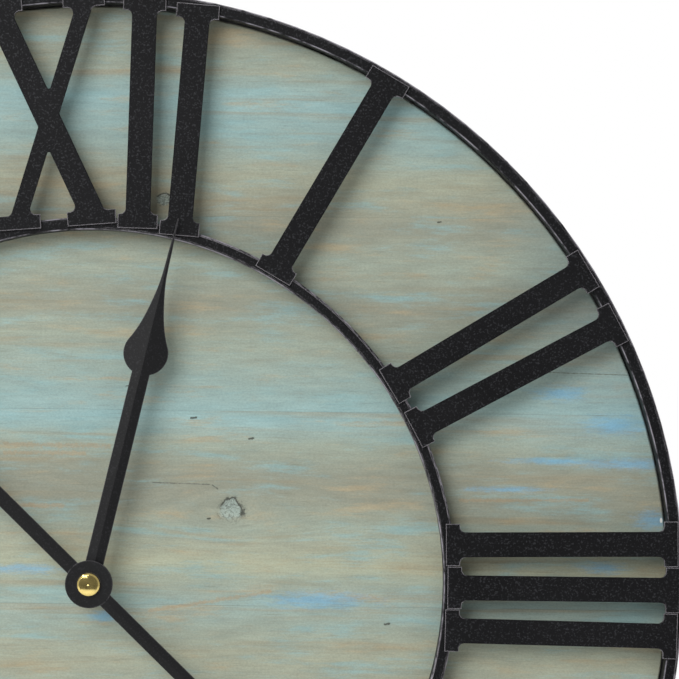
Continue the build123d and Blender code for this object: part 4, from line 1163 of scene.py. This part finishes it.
class CLOCK_OT_going_train(bpy.types.Operator):
    """Finish the wheels, rotor, coil and circuit inside the movement"""

    bl_idname = "clock.going_train"
    bl_label = "Wheels, Coil and Circuit"

    def execute(self, context):
        acetal = plastic_material(
            "wheel_white_acetal", tone(232, 228, 216), tone(244, 242, 234), 0.30, 1200.0, 0.08, 0.2
        )
        finish_nodes(
            acetal, "hour_wheel", "minute_wheel", "third_wheel", "seconds_wheel", "step_wheel", "rotor"
        )
        ferrite = plastic_material(
            "rotor_sintered_ferrite", tone(62, 62, 66), tone(96, 96, 100), 0.55, 3600.0, 0.5
        )
        finish_nodes(ferrite, "rotor_magnet")
        steel = metal_material(
            "stator_stamped_steel", tone(176, 178, 180), tone(136, 138, 142), 0.36, (90.0, 2000.0, 2000.0)
        )
        finish_nodes(steel, "stator", "coil_core")
        finish_nodes(winding_material(), "coil_winding")
        finish_nodes(laminate_material(), "circuit_board")
        resin = plastic_material("chip_black_resin", tone(20, 20, 21), tone(58, 58, 60), 0.36, 900.0, 0.4)
        finish_nodes(resin, "circuit_chip")
        can = metal_material(
            "crystal_drawn_can", tone(208, 208, 206), tone(178, 178, 178), 0.16, (60.0, 2600.0, 2600.0)
        )
        finish_nodes(can, "quartz_crystal")
        return {"FINISHED"}


class CLOCK_OT_cell(bpy.types.Operator):
    """Finish the battery and its two spring contacts"""

    bl_idname = "clock.cell"
    bl_label = "Battery and Contacts"

    def execute(self, context):
        finish_nodes(jacket_material(*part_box("battery")), "battery")
        nickel = metal_material(
            "contact_nickel_strip", tone(212, 208, 196), tone(176, 172, 160), 0.24,
            (2500.0, 2500.0, 80.0), 0.0001,
        )
        finish_nodes(nickel, "positive_contact", "negative_contact")
        return {"FINISHED"}


class CLOCK_OT_studio(bpy.types.Operator):
    """Set the pale floor, the soft lights and the camera"""

    bl_idname = "clock.studio"
    bl_label = "Floor, Lights and Camera"

    def execute(self, context):
        scene = context.scene
        studio = scene.clock_studio
        scene.view_settings.view_transform = "Standard"
        low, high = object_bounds()

        floor = bmesh.new()
        bmesh.ops.create_grid(floor, x_segments=8, y_segments=8, size=2.0)
        data = bpy.data.meshes.new("pale_floor")
        floor.to_mesh(data)
        floor.free()
        data.materials.append(floor_material())
        made = bpy.data.objects.new("pale_floor", data)
        made.location = (0.0, 0.0, low[2] - studio.floor_drop)
        scene.collection.objects.link(made)
        made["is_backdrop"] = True
        scene.world = studio_world(studio.fill_level)

        for name, place, aim, size, power in (
            ("key_softbox", (-0.80, -1.75, 1.00), (0.05, 0.0, 0.08), 1.30, studio.key_power),
            ("top_softbox", (0.20, 0.35, 1.60), (0.0, 0.0, 0.0), 0.9, studio.key_power * 0.22),
            ("back_softbox", (-0.90, 1.60, 0.70), (0.0, 0.0, 0.0), 1.0, studio.key_power * 0.45),
        ):
            light = bpy.data.lights.new(name, "AREA")
            light.shape = "SQUARE"
            light.size = size
            light.energy = power
            lamp = bpy.data.objects.new(name, light)
            lamp.location = place
            lamp.rotation_euler = (Vector(aim) - Vector(place)).to_track_quat("-Z", "Y").to_euler()
            scene.collection.objects.link(lamp)

        camera = bpy.data.cameras.new("front_camera")
        camera.sensor_width = 36.0
        camera.lens = 36.0 * studio.camera_distance / studio.view_width
        camera.clip_start = 0.05
        camera.clip_end = 50.0
        seat = bpy.data.objects.new("front_camera", camera)
        roll = studio.camera_roll
        right = Vector((math.cos(roll), 0.0, math.sin(roll)))
        up = Vector((-math.sin(roll), 0.0, math.cos(roll)))
        reach = high[0]
        centre = right * (reach * 0.4203) + up * (reach * 0.4105)
        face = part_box("numeral_1")[0][1]
        place = Vector((centre.x, face - studio.camera_distance, centre.z))
        turn = Matrix((right, up, Vector((0.0, -1.0, 0.0)))).transposed()
        seat.matrix_world = Matrix.Translation(place) @ turn.to_4x4()
        scene.collection.objects.link(seat)
        scene.camera = seat
        return {"FINISHED"}


OPERATORS = (
    CLOCK_OT_shared_textures, CLOCK_OT_board, CLOCK_OT_battens, CLOCK_OT_steelwork,
    CLOCK_OT_hands, CLOCK_OT_welds, CLOCK_OT_hardware, CLOCK_OT_brasswork,
    CLOCK_OT_movement_case, CLOCK_OT_going_train, CLOCK_OT_cell, CLOCK_OT_studio,
)


class CLOCK_PT_panel(bpy.types.Panel):
    """Lists the clock's settings and building steps"""

    bl_idname = "CLOCK_PT_panel"
    bl_label = "Wall Clock"
    bl_space_type = "VIEW_3D"
    bl_region_type = "UI"
    bl_category = "Wall Clock"

    def draw(self, context):
        scene = context.scene
        for settings in (scene.clock_finish, scene.clock_sizes, scene.clock_studio):
            box = self.layout.box()
            for name in settings.bl_rna.properties.keys():
                if name not in ("rna_type", "name"):
                    box.prop(settings, name)
        for operator in OPERATORS:
            self.layout.operator(operator.bl_idname)


CLASSES = (CLOCK_PG_finish, CLOCK_PG_sizes, CLOCK_PG_studio) + OPERATORS + (CLOCK_PT_panel,)


def register():
    for one in CLASSES:
        bpy.utils.register_class(one)
    bpy.types.Scene.clock_finish = PointerProperty(type=CLOCK_PG_finish)
    bpy.types.Scene.clock_sizes = PointerProperty(type=CLOCK_PG_sizes)
    bpy.types.Scene.clock_studio = PointerProperty(type=CLOCK_PG_studio)


def unregister():
    del bpy.types.Scene.clock_studio
    del bpy.types.Scene.clock_sizes
    del bpy.types.Scene.clock_finish
    for one in reversed(CLASSES):
        bpy.utils.unregister_class(one)


def main():
    register()
    for operator in OPERATORS:
        group, name = operator.bl_idname.split(".")
        getattr(getattr(bpy.ops, group), name)()


if __name__ == "__main__":
    main()
